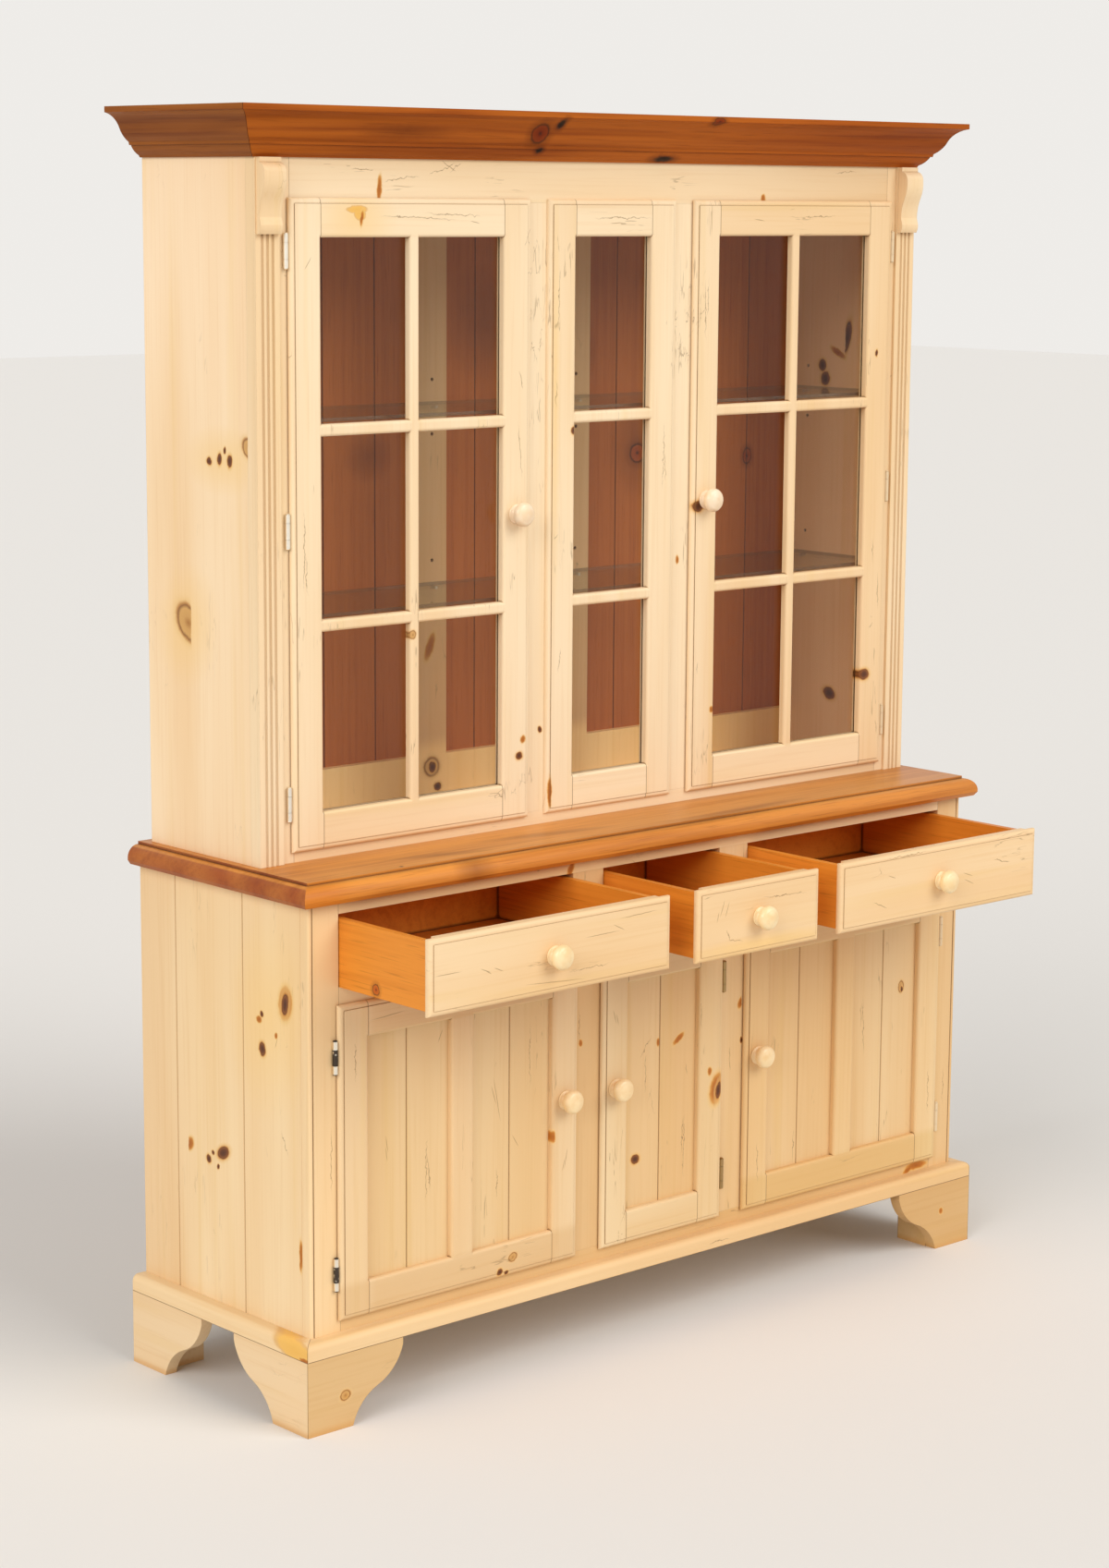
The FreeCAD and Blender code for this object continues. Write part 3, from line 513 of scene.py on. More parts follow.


# %% [markdown]
# ## The painted sides
#
# The sides are wide, so their knots are easy to recognise: a row of four small ones and a large ringed one on
# the hutch, and two groups on the lower case. They are placed in metres on each side's own face. The hutch's
# right side shows its knots through the panes, from inside. That of the lower case isn't seen from the front,
# and has knots of the same kinds in other places. A fade is a slow change of tint along an axis. Here the
# fades
# paint light and shade: a painted highlight makes the top of the hutch paler, and painted shade makes the
# back of the lower case and the inside of the hutch darker. The lower case is darker and yellower than the
# hutch, partly a yellower glaze and partly painted shade.

# %% Knots of the sides
hutch_left = [
    mark("honey", 0.130, 1.506, 0.110, 0.060), mark("honey", 0.228, 1.240, 0.090, 0.110, 20),
    mark("dark", 0.166, 1.503, 0.013, 0.012), mark("dark", 0.139, 1.508, 0.011, 0.018, 8),
    mark("dark", 0.125, 1.522, 0.006, 0.010), mark("dark", 0.113, 1.506, 0.012, 0.019),
    mark("ring", 0.062, 1.528, 0.040, 0.030, 35, (1, 0.066)),
    mark("ring", 0.226, 1.245, 0.072, 0.052, 42, (1, 0.219)),
]
hutch_right = [
    mark("dark", 0.183, 1.662, 0.018, 0.060, 12, (-1, 0.188)), mark("amber", 0.205, 1.632, 0.042, 0.012, 28),
    mark("dark", 0.244, 1.608, 0.018, 0.022), mark("dark", 0.236, 1.584, 0.022, 0.024),
    mark("dark", 0.210, 0.998, 0.030, 0.022, 15), mark("dark", 0.140, 1.360, 0.014, 0.020),
]
base_left = [
    mark("honey", 0.006, 0.650, 0.120, 0.190, 8), mark("amber", -0.034, 0.678, 0.034, 0.056, 8),
    mark("dark", -0.033, 0.676, 0.017, 0.036, 8), mark("amber", -0.010, 0.622, 0.007, 0.010),
    mark("amber", -0.069, 0.279, 0.008, 0.052), crack(-0.030, 0.452, 0.036, 70),
    mark("dark", 0.027, 0.650, 0.009, 0.010), mark("amber", 0.034, 0.640, 0.014, 0.012),
    mark("dark", 0.026, 0.594, 0.016, 0.022, -10), scratch(-0.010, 0.610, 0.016, 110),
    mark("amber", 0.222, 0.398, 0.018, 0.026, 30, (-1, 0.226)), mark("dark", 0.160, 0.396, 0.007, 0.008),
    mark("dark", 0.171, 0.384, 0.013, 0.014), mark("dark", 0.132, 0.402, 0.033, 0.020, -28),
    mark("dark", 0.146, 0.376, 0.006, 0.008),
]
base_right = [
    mark("ring", 0.110, 0.610, 0.028, 0.040, 10), mark("dark", -0.020, 0.330, 0.018, 0.024),
    mark("dark", 0.250, 0.480, 0.014, 0.014), mark("amber", 0.235, 0.455, 0.012, 0.018, 20),
    mark("dark", 0.060, 0.715, 0.010, 0.013),
]
print("marks on the sides:", [len(marks) for marks in (hutch_left, hutch_right, base_left, base_right)])

# %% Paint the sides
UPPER_TINT = (1.02, 0.98, 0.95)
# Partly a yellower glaze and partly painted shade, because the lower case gets less light.
LOWER_GLAZE_AND_SHADE = (0.97, 0.92, 0.82)
# Painted light: a painted highlight at the top of the hutch, and painted shade inside it and at the back
# below.
lit_hutch_top = ("z", 1.40, 1.85, (1.05, 1.07, 1.13))
shaded_hutch_inside = ("x", 0.732, 0.724, (1.0, 0.86, 0.74))
shaded_case_back = ("y", 0.18, 0.34, (0.92, 0.85, 0.79))
side_finish = {
    "hutch_side_left": (hutch_left, UPPER_TINT, lit_hutch_top),
    "hutch_side_right": (hutch_right, UPPER_TINT, shaded_hutch_inside),
    "base_side_left": (base_left, LOWER_GLAZE_AND_SHADE, shaded_case_back),
    "base_side_right": (base_right, LOWER_GLAZE_AND_SHADE, shaded_case_back),
}
for name, (marks, tint, fade) in side_finish.items():
    give(cream_paint("cream " + name, "z", "yz", marks, tint=tint, cracked=0.35, fades=(fade,)), name)
    print(name, "marks:", len(marks))

# %% [markdown]
# The face frames have stiles and rails like the doors, but here the stiles are one piece of CAD and the rails
# another, so their grain doesn't turn and only the rails' ends need a joint line. The outer stiles of the
# lower case have a bead at the corner, and its quirk is one more fine line. Painted shade darkens the lower
# case to the right of its left door, most of all about the divider beside the middle door and at the right
# end, and along its foot. Painted shade also darkens the right end of the header.

# %% Paint the lower face frame
CORNER_BEAD = 0.008
base_low, base_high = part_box("base_frame_stiles")
bead_lines = (base_low.x + CORNER_BEAD, base_high.x - CORNER_BEAD)
base_edge = -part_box("base_frame_rails")[0].x
base_marks = [
    mark("amber", -0.183, 0.532, 0.008, 0.012), mark("amber", 0.192, 0.541, 0.012, 0.022, -20, (-1, 0.1945)),
    mark("dark", 0.195, 0.474, 0.006, 0.010), crack(-0.707, 0.430, 0.085), crack(0.168, 0.445, 0.036, 92),
    crack(-0.186, 0.560, 0.050), crack(0.725, 0.300, 0.060),
]
# Painted shade across the lower frame: darkest about the divider beside the middle door and at the right end.
divider_shade_fades = (
    ("x", -0.50, -0.30, (0.82, 0.71, 0.57)), ("x", -0.05, 0.10, (1.11, 1.25, 1.50)),
    ("x", 0.30, 0.60, (0.95, 0.86, 0.74)),
)
base_stiles = cream_paint("cream base_frame_stiles", "z", "xz", base_marks, tint=LOWER_GLAZE_AND_SHADE,
                          uprights=bead_lines, fades=divider_shade_fades)
give(base_stiles, "base_frame_stiles")
rail_marks = [
    mark("amber", -0.207, 0.829, 0.012, 0.026, -30), mark("amber", 0.657, 0.160, 0.056, 0.014),
    mark("amber", 0.636, 0.156, 0.030, 0.010, 20),
]
# Painted shade along the foot of the lower frame.
shaded_foot_rail = ("z", 0.20, 0.17, (0.85, 0.77, 0.64))
base_rails = cream_paint("cream base_frame_rails", "x", "xz", rail_marks, tint=LOWER_GLAZE_AND_SHADE,
                         uprights=(-base_edge, base_edge), fades=(shaded_foot_rail,))
give(base_rails, "base_frame_rails")
print("lower rails end at", round(base_edge, 4))

# %% Paint the upper face frame
hutch_edge = -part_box("hutch_frame_rails")[0].x
mullion_marks = [mark("dark", -0.153, 1.037, 0.008, 0.009), mark("amber", 0.160, 1.300, 0.008, 0.014)]
give(cream_paint("cream hutch_frame_stiles", "z", "xz", mullion_marks), "hutch_frame_stiles")
header_marks = [
    mark("amber", -0.493, 1.921, 0.009, 0.042, -4), mark("amber", 0.355, 1.911, 0.011, 0.014),
    crack(-0.365, 1.953, 0.053, 16), crack(-0.352, 1.957, 0.030, 150), crack(-0.338, 1.955, 0.024, 30),
    crack(-0.449, 1.937, 0.061, 7), crack(-0.526, 1.950, 0.037, 178), crack(0.560, 1.957, 0.045, 4),
]
# Painted shade at the right end of the header.
shaded_header_end = ("x", 0.10, 0.65, (0.89, 0.82, 0.73))
header = cream_paint("cream hutch_frame_rails", "x", "xz", header_marks, uprights=(-hutch_edge, hutch_edge),
                     fades=(shaded_header_end,))
give(header, "hutch_frame_rails")
give(cream_paint("cream trim", "z", cracked=0.5, glazed=0.45), "pilasters", "corbels")
print("upper rails end at", round(hutch_edge, 4))

# %% Paint the back frame and the hutch floor
back_marks = [
    mark("ring", -0.166, 0.941, 0.034, 0.034), mark("dark", -0.164, 0.940, 0.016, 0.018),
    mark("dark", -0.152, 0.905, 0.016, 0.014), mark("amber", -0.170, 1.150, 0.018, 0.050, -20),
]
# Painted shade: the back frame inside the hutch is darker and yellower, and a painted highlight makes its low
# rail paler.
BACK_FRAME_SHADE = (0.92, 0.73, 0.54)
lit_back_rail = ("z", 1.00, 0.96, (1.30, 1.42, 1.36))
back_frame = cream_paint("cream hutch_back_frame", "z", "xz", back_marks, tint=BACK_FRAME_SHADE, fades=(lit_back_rail,))
give(back_frame, "hutch_back_frame")
give(cream_paint("cream hutch_floor", "x"), "hutch_floor")
print("marks on the back frame:", len(back_marks))

# %% [markdown]
# ## Plinth and feet
#
# The plinth is mitred at the corners, and its open mitre shows as a dark line. A line of 45 degrees in plan
# is where the sum of the distance from the middle and the depth is constant, which is one Add node. Another
# dark line shows where the plinth lies on the feet. The left corner is rubbed down to yellow wood on both of
# its faces. Depth less the place across is one coordinate that runs along the side and goes on along the
# front, so one mark can lie round the corner.

# %% Paint the plinth
plinth_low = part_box("plinth_moulding")[0]
base_mitre = base_high.x + base_low.y
corner = plinth_low.y - plinth_low.x
corner_marks = [
    mark("worn", corner + 0.030, plinth_low.z + 0.012, 0.110, 0.034, 9, (1, corner)),
    mark("amber", corner + 0.008, plinth_low.z + 0.002, 0.026, 0.008, 6, (1, corner)),
    crack(corner - 0.900, plinth_low.z + 0.010, 0.040, 4),
]
# Painted shade: the plinth's front is darker than its side.
PLINTH_FRONT_SHADE = (0.92, 0.87, 0.80)
plinth = cream_paint("cream plinth", "x", "corner", corner_marks, tint=LOWER_GLAZE_AND_SHADE, levels=(plinth_low.z,),
                     mitre=base_mitre, front_tint=PLINTH_FRONT_SHADE, cracked=0.4)
give(plinth, "plinth_moulding")
print("plinth mitre at", round(base_mitre, 4))

# %% Paint the feet
# The feet are darker, partly glaze and partly painted shade, and their fronts have more painted shade than
# their sides.
FOOT_GLAZE_AND_SHADE = (0.92, 0.86, 0.78)
FOOT_FRONT_SHADE = (0.80, 0.71, 0.55)
FOOT_WEAR = 0.012
foot_marks = [
    mark("ring", -0.702, 0.054, 0.020, 0.017, 20), mark("amber", -0.701, 0.053, 0.008, 0.008),
    mark("amber", 0.700, 0.070, 0.010, 0.012),
]
feet = cream_paint("cream feet", "x", "xz", foot_marks, tint=FOOT_GLAZE_AND_SHADE, levels=(plinth_low.z,),
                   mitre=base_mitre, front_tint=FOOT_FRONT_SHADE, worn_below=FOOT_WEAR, cracked=0.3)
give(feet, "front_feet", "back_feet")
print("marks on the feet:", len(foot_marks))

# %% [markdown]
# ## Doors
#
# Each door gets a finish of its own, because its knots and its rails are its own. The lower doors are darker
# and yellower than the upper ones, partly a yellower glaze and partly painted shade. Painted shade also
# darkens their bottom rails and the upper right door, and a painted highlight makes the outer stile of the
# lower left door paler. The marks could be spread by chance, but the eye knows a cabinet by its largest
# knots, so each has its place in a table.

# %% Knots and cracks of the doors
# The lower doors' tints are partly a yellower glaze and partly painted shade; the upper right door's is
# painted shade.
LOWER_LEFT_DOOR_GLAZE_AND_SHADE = (0.875, 0.805, 0.695)
MIDDLE_DOOR_GLAZE_AND_SHADE = (0.89, 0.86, 0.77)
RIGHT_DOOR_GLAZE_AND_SHADE = (0.89, 0.81, 0.66)
SHADED_TINT = (0.97, 0.93, 0.88)
door_marks = {
    "upper_left_door_frame": (PLAIN_TINT, [
        mark("amber", -0.200, 1.027, 0.012, 0.013), mark("dark", -0.208, 1.000, 0.014, 0.013),
        mark("ring", -0.435, 1.220, 0.013, 0.014), mark("honey", -0.548, 1.878, 0.090, 0.060),
        mark("worn", -0.546, 1.8895, 0.040, 0.012), mark("worn", -0.540, 1.882, 0.022, 0.018, -12),
        mark("amber", -0.5365, 1.876, 0.007, 0.024, -8), crack(-0.423, 1.877, 0.123, 178),
        crack(-0.351, 1.882, 0.096, 178), scratch(-0.306, 1.870, 0.017, 168),
        scratch(-0.642, 1.808, 0.020, 57), crack(-0.653, 1.365, 0.101, 89), crack(-0.648, 1.330, 0.050, 92),
        crack(-0.209, 1.505, 0.076, 96), crack(-0.207, 1.618, 0.026, 104),
    ]),
    "centre_panel_frame": (PLAIN_TINT, [
        mark("dark", -0.089, 1.531, 0.011, 0.012), mark("amber", -0.137, 0.930, 0.008, 0.050),
        mark("honey", -0.130, 1.600, 0.012, 0.420), crack(-0.123, 1.747, 0.078, 89),
        crack(-0.128, 1.591, 0.041, 89), crack(0.017, 1.877, 0.107, 0), scratch(0.003, 1.869, 0.023, 2),
        crack(0.117, 1.482, 0.089, 88), crack(0.121, 1.462, 0.040, 94), crack(-0.118, 1.151, 0.035, 84),
    ]),
    "upper_right_door_frame": (SHADED_TINT, [
        mark("dark", 0.199, 1.390, 0.024, 0.019), mark("amber", 0.238, 1.034, 0.011, 0.011),
        mark("dark", 0.626, 1.061, 0.024, 0.020), mark("dark", 0.640, 1.640, 0.007, 0.012),
        crack(0.484, 1.880, 0.068, 2), scratch(0.337, 1.874, 0.022, 172), crack(0.210, 1.724, 0.081, 91),
        crack(0.216, 1.740, 0.045, 88), crack(0.642, 1.285, 0.036, 92), crack(0.657, 1.212, 0.054, 92),
        crack(0.661, 0.961, 0.020, 92), crack(0.201, 1.111, 0.020, 91),
    ]),
    "lower_left_door_frame": (LOWER_LEFT_DOOR_GLAZE_AND_SHADE, [
        mark("ring", -0.339, 0.199, 0.019, 0.015, 20), mark("dark", -0.367, 0.179, 0.012, 0.012),
        mark("dark", -0.352, 0.175, 0.008, 0.008), mark("amber", -0.251, 0.386, 0.009, 0.020),
        crack(-0.666, 0.582, 0.052), scratch(-0.223, 0.344, 0.031, 79), scratch(-0.228, 0.334, 0.018, 76),
        scratch(-0.600, 0.648, 0.060, 4), scratch(-0.520, 0.652, 0.045, 1),
    ]),
    "lower_middle_door_frame": (MIDDLE_DOOR_GLAZE_AND_SHADE, [
        mark("amber", 0.126, 0.402, 0.032, 0.056, -12), mark("dark", 0.131, 0.398, 0.014, 0.030, -12),
        mark("amber", 0.109, 0.435, 0.010, 0.015), scratch(-0.115, 0.567, 0.023, 107),
        scratch(-0.109, 0.562, 0.018, 107), crack(0.087, 0.536, 0.039),
    ]),
    "lower_right_door_frame": (RIGHT_DOOR_GLAZE_AND_SHADE, [
        crack(0.672, 0.300, 0.070), crack(0.229, 0.250, 0.060, 92),
    ]),
}
print("doors with marks:", len(door_marks))

# %% Paint the doors
# Painted light: a painted highlight on the lower left door's outer stile, and painted shade on the bottom
# rails.
lit_outer_stile = ("x", -0.62, -0.66, (1.07, 1.16, 1.32))
shaded_left_rail = ("z", 0.235, 0.215, (0.91, 0.86, 0.79))
shaded_right_rail = ("z", 0.235, 0.215, (0.93, 0.90, 0.78))
door_fades = {
    "lower_left_door_frame": (lit_outer_stile, shaded_left_rail),
    "lower_right_door_frame": (shaded_right_rail,),
}
for name, (tint, marks) in door_marks.items():
    fades = door_fades.get(name, ())
    give(cream_paint("cream " + name, "z", "xz", marks, rails_of(name), tint, fades=fades), name)
    print(name, "marks:", len(marks))

# %% [markdown]
# The lower doors' panels are grooved boards that sit loose in the frames. Their grooves are part of the
# joinery, and the darkening of hollows finds them by itself, so the finish only needs upright grain, a darker
# tint that is partly glaze and partly painted shade, a painted highlight toward the left, and the cracks of
# each panel.

# %% Paint the panels of the lower doors
PANEL_GLAZE_AND_SHADE = (0.86, 0.77, 0.62)
# A painted highlight toward the left.
lit_left_panels = ("x", -0.15, -0.20, (1.01, 1.05, 1.09))
panel_marks = {
    "lower_left_door_panels": [
        scratch(-0.595, 0.436, 0.024, 100), scratch(-0.596, 0.420, 0.020, 96),
        crack(-0.514, 0.378, 0.084, 89), crack(-0.509, 0.372, 0.050, 94), scratch(-0.365, 0.468, 0.064, 101),
        scratch(-0.372, 0.476, 0.030, 108), crack(-0.365, 0.327, 0.042, 88), crack(-0.294, 0.529, 0.086),
        scratch(-0.325, 0.391, 0.022, 122), scratch(-0.485, 0.594, 0.020, 65),
    ],
    "lower_middle_door_panels": [
        mark("dark", -0.055, 0.308, 0.018, 0.017), mark("amber", 0.044, 0.502, 0.010, 0.030, -55),
        mark("amber", -0.004, 0.503, 0.007, 0.015), crack(-0.033, 0.499, 0.037, 51),
        crack(-0.033, 0.453, 0.059), crack(0.063, 0.446, 0.018, 98), crack(0.059, 0.313, 0.096),
        crack(0.055, 0.330, 0.060, 87),
    ],
    "lower_right_door_panels": [
        mark("ring", 0.605, 0.505, 0.015, 0.022), mark("dark", 0.607, 0.500, 0.006, 0.010),
        crack(0.506, 0.448, 0.091, 92), crack(0.500, 0.470, 0.040), crack(0.330, 0.260, 0.050),
    ],
}
for name, marks in panel_marks.items():
    give(cream_paint("cream " + name, "z", "xz", marks, tint=PANEL_GLAZE_AND_SHADE, fades=(lit_left_panels,)), name)
    print(name, "marks:", len(marks))

# %% [markdown]
# ## Drawers and knobs
#
# A drawer front is one board with a moulded edge, so its grain lies level all over. It has hardly a knot, but
# groups of short scratches, all at about the same slant. A noise would spread them evenly, so they are placed
# one by one.

# %% Paint the drawer fronts
# Partly a yellower glaze and partly painted shade.
DRAWER_GLAZE_AND_SHADE = (0.95, 0.88, 0.79)
drawer_marks = {
    "left": [
        scratch(-0.661, 0.762, 0.045, 0), scratch(-0.586, 0.756, 0.018, 158),
        scratch(-0.581, 0.753, 0.013, 150), scratch(-0.560, 0.754, 0.017, 158),
        crack(-0.370, 0.729, 0.067, 1), scratch(-0.345, 0.778, 0.060, 1), scratch(-0.310, 0.784, 0.023, 154),
        scratch(-0.268, 0.799, 0.067, 2), scratch(-0.444, 0.717, 0.103, 176),
    ],
    "middle": [
        mark("honey", 0.020, 0.714, 0.220, 0.018), crack(0.056, 0.787, 0.085, 177),
        scratch(-0.086, 0.783, 0.025, 71), scratch(-0.075, 0.780, 0.023, 70),
        scratch(-0.096, 0.770, 0.015, 74), crack(-0.072, 0.737, 0.015, 107), crack(-0.056, 0.727, 0.028, 169),
    ],
    "right": [
        crack(0.294, 0.736, 0.033, 156), scratch(0.517, 0.760, 0.023, 161), scratch(0.520, 0.747, 0.024, 156),
        crack(0.605, 0.773, 0.040, 166), scratch(0.322, 0.781, 0.017, 162), crack(0.360, 0.813, 0.090, 1),
    ],
}
for name, marks in drawer_marks.items():
    front = cream_paint("cream " + name + "_drawer", "x", "xz", marks, tint=DRAWER_GLAZE_AND_SHADE, glazed=0.55)
    give(front, name + "_drawer_front")
    print(name, "drawer marks:", len(marks))

# %% [markdown]
# The knobs are turned and painted smooth, so their paint has a little gloss and no cracks. Only the neck is
# darker, partly glaze and partly painted shade under the head. The paint has no grain either: a plain round
# noise makes it slightly uneven. The two upper knobs are whiter than the lower ones, whose darker, yellower
# paint is a painted shade.

# %% Paint the knobs
KNOB_REACH = 0.008
KNOB_GLAZE_AND_SHADE = 0.6
UPPER_KNOB_TINT = (1.0, 1.02, 1.10)
# Painted shade: the lower knobs are darker and yellower.
LOWER_KNOB_SHADE_TINT = (0.99, 0.97, 0.84)


def knob_paint(name, tint):
    """Smooth paint for a turned knob, darker in its neck: partly glaze and partly painted shade."""
    material, at = new_material(name)
    mottle = at.noise(55.0, 3.0)
    color = mottle.rise(0.30, 0.75).blend(tinted(PALE_CREAM, tint), tinted(WARM_CREAM, tint))
    color = (hollows(at, KNOB_REACH).rise(0.25, 0.75) * KNOB_GLAZE_AND_SHADE).blend(color, BROWN_GLAZE_AND_SHADE)
    inputs = {"Base Color": color, "Roughness": 0.30 + mottle * 0.12, "Coat Weight": 0.15}
    surface(at, inputs, mottle, bump=0.12, depth=0.0004)
    return material


knobs = [name for name in nodes if name.endswith("_knob")]
upper_knobs = [name for name in knobs if name.startswith("upper")]
lower_knobs = [name for name in knobs if not name.startswith("upper")]
give(knob_paint("cream upper knobs", UPPER_KNOB_TINT), *upper_knobs)
give(knob_paint("cream lower knobs", LOWER_KNOB_SHADE_TINT), *lower_knobs)
print("knobs:", len(upper_knobs), "above,", len(lower_knobs), "below")

# %% [markdown]
# ## Stained pine
#
# The cornice, the counter, the boards behind the shelves and the drawer boxes are the same pine under
# different stains. Growth lines are a sine across the board, bent by a noise that is stretched along it, and
# fine pores are a much finer stretched noise. A Wave texture draws such lines too, but its phase can't take a
# shift for each board. Hollows, found as they are for the paint, are darker: partly stain that gathers there
# and partly painted shade. Boards side by side come from different trees, so each gets a shift of its own
# from its number.

# %% The colours of knots under a stain
KNOT_BLACK = (0.010, 0.004, 0.002)
KNOT_DARK = (0.030, 0.009, 0.003)
KNOT_RIM = (0.100, 0.028, 0.008)
KNOT_HEART = (0.050, 0.012, 0.004)
KNOT_EDGE = (0.050, 0.014, 0.004)


def stain_marks(dark, deep):
    """The kinds of marks in stained pine, from its dark colour and that of its pores."""
    pale_ring = tinted(dark, (0.80, 0.55, 0.40))[:3]
    pale_edge = tinted(dark, (0.90, 0.65, 0.50))[:3]
    pore = deep[:3]
    return {
        "smear": [(0.00, pore + (0.55,)), (0.50, pore + (0.30,)), (0.95, pore + (0.0,))],
        "ring": [
            (0.00, KNOT_HEART + (1.0,)), (0.16, pale_ring + (1.0,)), (0.40, pale_edge + (0.9,)),
            (0.47, KNOT_EDGE + (0.9,)), (0.58, pore + (0.4,)), (0.95, pore + (0.0,)),
        ],
        "dark": [
            (0.00, KNOT_BLACK + (1.0,)), (0.30, KNOT_DARK + (1.0,)), (0.44, KNOT_RIM + (0.9,)),
            (0.58, pore + (0.5,)), (1.00, pore + (0.0,)),
        ],
    }


# %% Growth rings on the end of a board
HEART_DEPTH = 0.24
HEART_HEIGHT = 0.70
RING_RATE = 85.0
RING_WANDER = 5.0


def end_grain(at):
    """Broad bands round the heart of the tree, which lies below the counter's end."""
    y, z = at.axes()[1:]
    aside, above = y - HEART_DEPTH, z - HEART_HEIGHT
    rings = (aside * aside + above * above) ** 0.5
    return at.math("SINE", rings * RING_RATE + at.noise(11.0, 2.0) * RING_WANDER) * 0.5 + 0.5


# %% The stained pine
STAIN_REACH = 0.008
SWAY_SCALES = (26.0, 1.6)
PORE_SCALES = (420.0, 12.0)
FIBRE_SCALES = (120.0, 2.2)
PINE_DRIFT_SCALES = (5.0, 1.2)
PORE_TINT = (0.42, 0.36, 0.32)
HALF_TINT = (0.5, 0.5, 0.5)
LINES_ACROSS, LINES_DEEP = 150.0, 60.0
LINE_SWAY = 26.0
LINE_SHARPNESS = 1.6
LINE_SHIFT, SWAY_SHIFT, DRIFT_SHIFT = 30.0, 40.0, 9.0
DRIFT_SHARE, FIBRE_SHARE, BOARD_SHARE = 0.40, 0.35, 0.5
PORE_SHARE = 0.32
GATHERED_AND_SHADE_SHARE = 0.85
STAIN_RELIEF = 0.0004


def stained_pine(name, grain, light, dark, face="xz", marks=(), boards=None, roughness=0.40, coat=0.08,
                 mitre=None, side_tint=None, end_tint=None, front_tint=None, figured=0.30, shine=0.22,
                 fades=()):
    """Stained pine with growth lines, pores and knots. boards is their width and the first seam's place."""
    material, at = new_material(name)
    x, y = at.axes()[:2]
    lie = grain_lie(at, grain, None, mitre)
    across, depth = lie[1:]
    lines = joint_lines(at, mitre=mitre)
    shift = 0.0
    if boards:
        width, first_seam = boards
        place = across * (1 / width) + first_seam
        number = at.math("FLOOR", place)
        shift = at.node("ShaderNodeTexWhiteNoise", {"noise_dimensions": "1D"}, {"W": number})
        lines.append((0.5 - abs(at.math("FRACT", place) - 0.5)) * width)
    sway = stretched(lie, SWAY_SCALES, shift * SWAY_SHIFT).noise(0.45, 3.0)
    phase = across * LINES_ACROSS + depth * LINES_DEEP + shift * LINE_SHIFT + sway * LINE_SWAY
    figure = (at.math("SINE", phase) * 0.5 + 0.5) ** LINE_SHARPNESS
    pores = stretched(lie, PORE_SCALES).noise(1.0, 2.0)
    fibre = stretched(lie, FIBRE_SCALES).noise(1.0, 3.0).rise(0.40, 0.70)
    drift = stretched(lie, PINE_DRIFT_SCALES, shift * DRIFT_SHIFT).noise(1.0, 2.0).rise(0.30, 0.72)
    share = figure * figured + drift * DRIFT_SHARE + fibre * FIBRE_SHARE + (shift - 0.5) * BOARD_SHARE
    deep = tinted(dark, PORE_TINT)
    color = (pores.rise(0.56, 0.74) * PORE_SHARE).blend(share.blend(light, dark), deep)
    color = add_marks(at, face, marks, stain_marks(dark, deep), add_fades(at, fades, color))
    facing, ahead = at.also("Normal").axes()[:2]
    if end_tint:
        end = abs(facing).rise(0.45, 0.60)
        color = (end * (0.70 + end_grain(at) * 0.30)).shade(color, end_tint + (1.0,))
    if front_tint:
        color = (0 - ahead).rise(0.30, 0.55).shade(color, front_tint + (1.0,))
    if side_tint:
        color = (abs(x) + y > mitre).shade(color, side_tint + (1.0,))
    # Darker hollows: partly gathered stain and partly painted shade.
    gathered_stain_and_shade = tinted(deep, HALF_TINT)
    color = (hollows(at, STAIN_REACH).rise(0.12, 0.42) * GATHERED_AND_SHADE_SHARE).blend(color, gathered_stain_and_shade)
    height = figure * 0.2 - pores * 0.5
    if lines:
        seam = seam_in(lines)
        color = (seam * GATHERED_AND_SHADE_SHARE).blend(color, gathered_stain_and_shade)
        height = height - seam
    inputs = {"Base Color": color, "Roughness": roughness + pores * 0.12, "Specular IOR Level": shine}
    inputs.update({"Coat Weight": coat, "Coat Roughness": 0.25})
    surface(at, inputs, height, bump=0.35, depth=STAIN_RELIEF, round_edge=EASED_EDGE)
    return material


# %% [markdown]
# The cornice is the darkest wood of the cabinet, with a dull finish and two groups of knots. It is mitred
# like the plinth, so its grain turns at the corners. Its short sides are darker and bluer, partly a board
# that took the stain less red and partly painted shade with a painted bluish reflection, and painted shade
# darkens its right end. The counter is lighter and a little glossy, with painted shade toward its right
# end. Its ends show end grain, which drinks more stain: those faces are known by their normals, and the
# bands of growth rings are distances from a line along the heart of the tree.

# %% Stain the cornice
CORNICE_LIGHT = (0.450, 0.112, 0.009, 1.0)
CORNICE_DARK = (0.230, 0.042, 0.003, 1.0)
# Painted shade with a painted bluish reflection on the cornice's short sides, partly a board that took the
# stain less red.
CORNICE_SIDE_SHADE = (0.68, 0.82, 1.35)
hutch_low, hutch_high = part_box("hutch_frame_stiles")
hutch_mitre = hutch_high.x + hutch_low.y
cornice_marks = [
    mark("ring", -0.196, 2.010, 0.036, 0.030), mark("dark", -0.160, 2.025, 0.016, 0.016),
    mark("dark", -0.180, 1.984, 0.016, 0.010), mark("dark", 0.105, 1.974, 0.044, 0.010),
    mark("ring", 0.180, 2.036, 0.026, 0.012), mark("smear", -0.470, 2.008, 0.120, 0.014),
]
# Painted shade toward the right end.
shaded_cornice_right = ("x", 0.05, 0.50, (0.87, 0.79, 0.68))
cornice = stained_pine("stained cornice", "x", CORNICE_LIGHT, CORNICE_DARK, "xz", cornice_marks, coat=0.0,
                       shine=0.10, mitre=hutch_mitre, side_tint=CORNICE_SIDE_SHADE, figured=0.42,
                       fades=(shaded_cornice_right,))
give(cornice, "cornice")
print("hutch mitre at", round(hutch_mitre, 4))

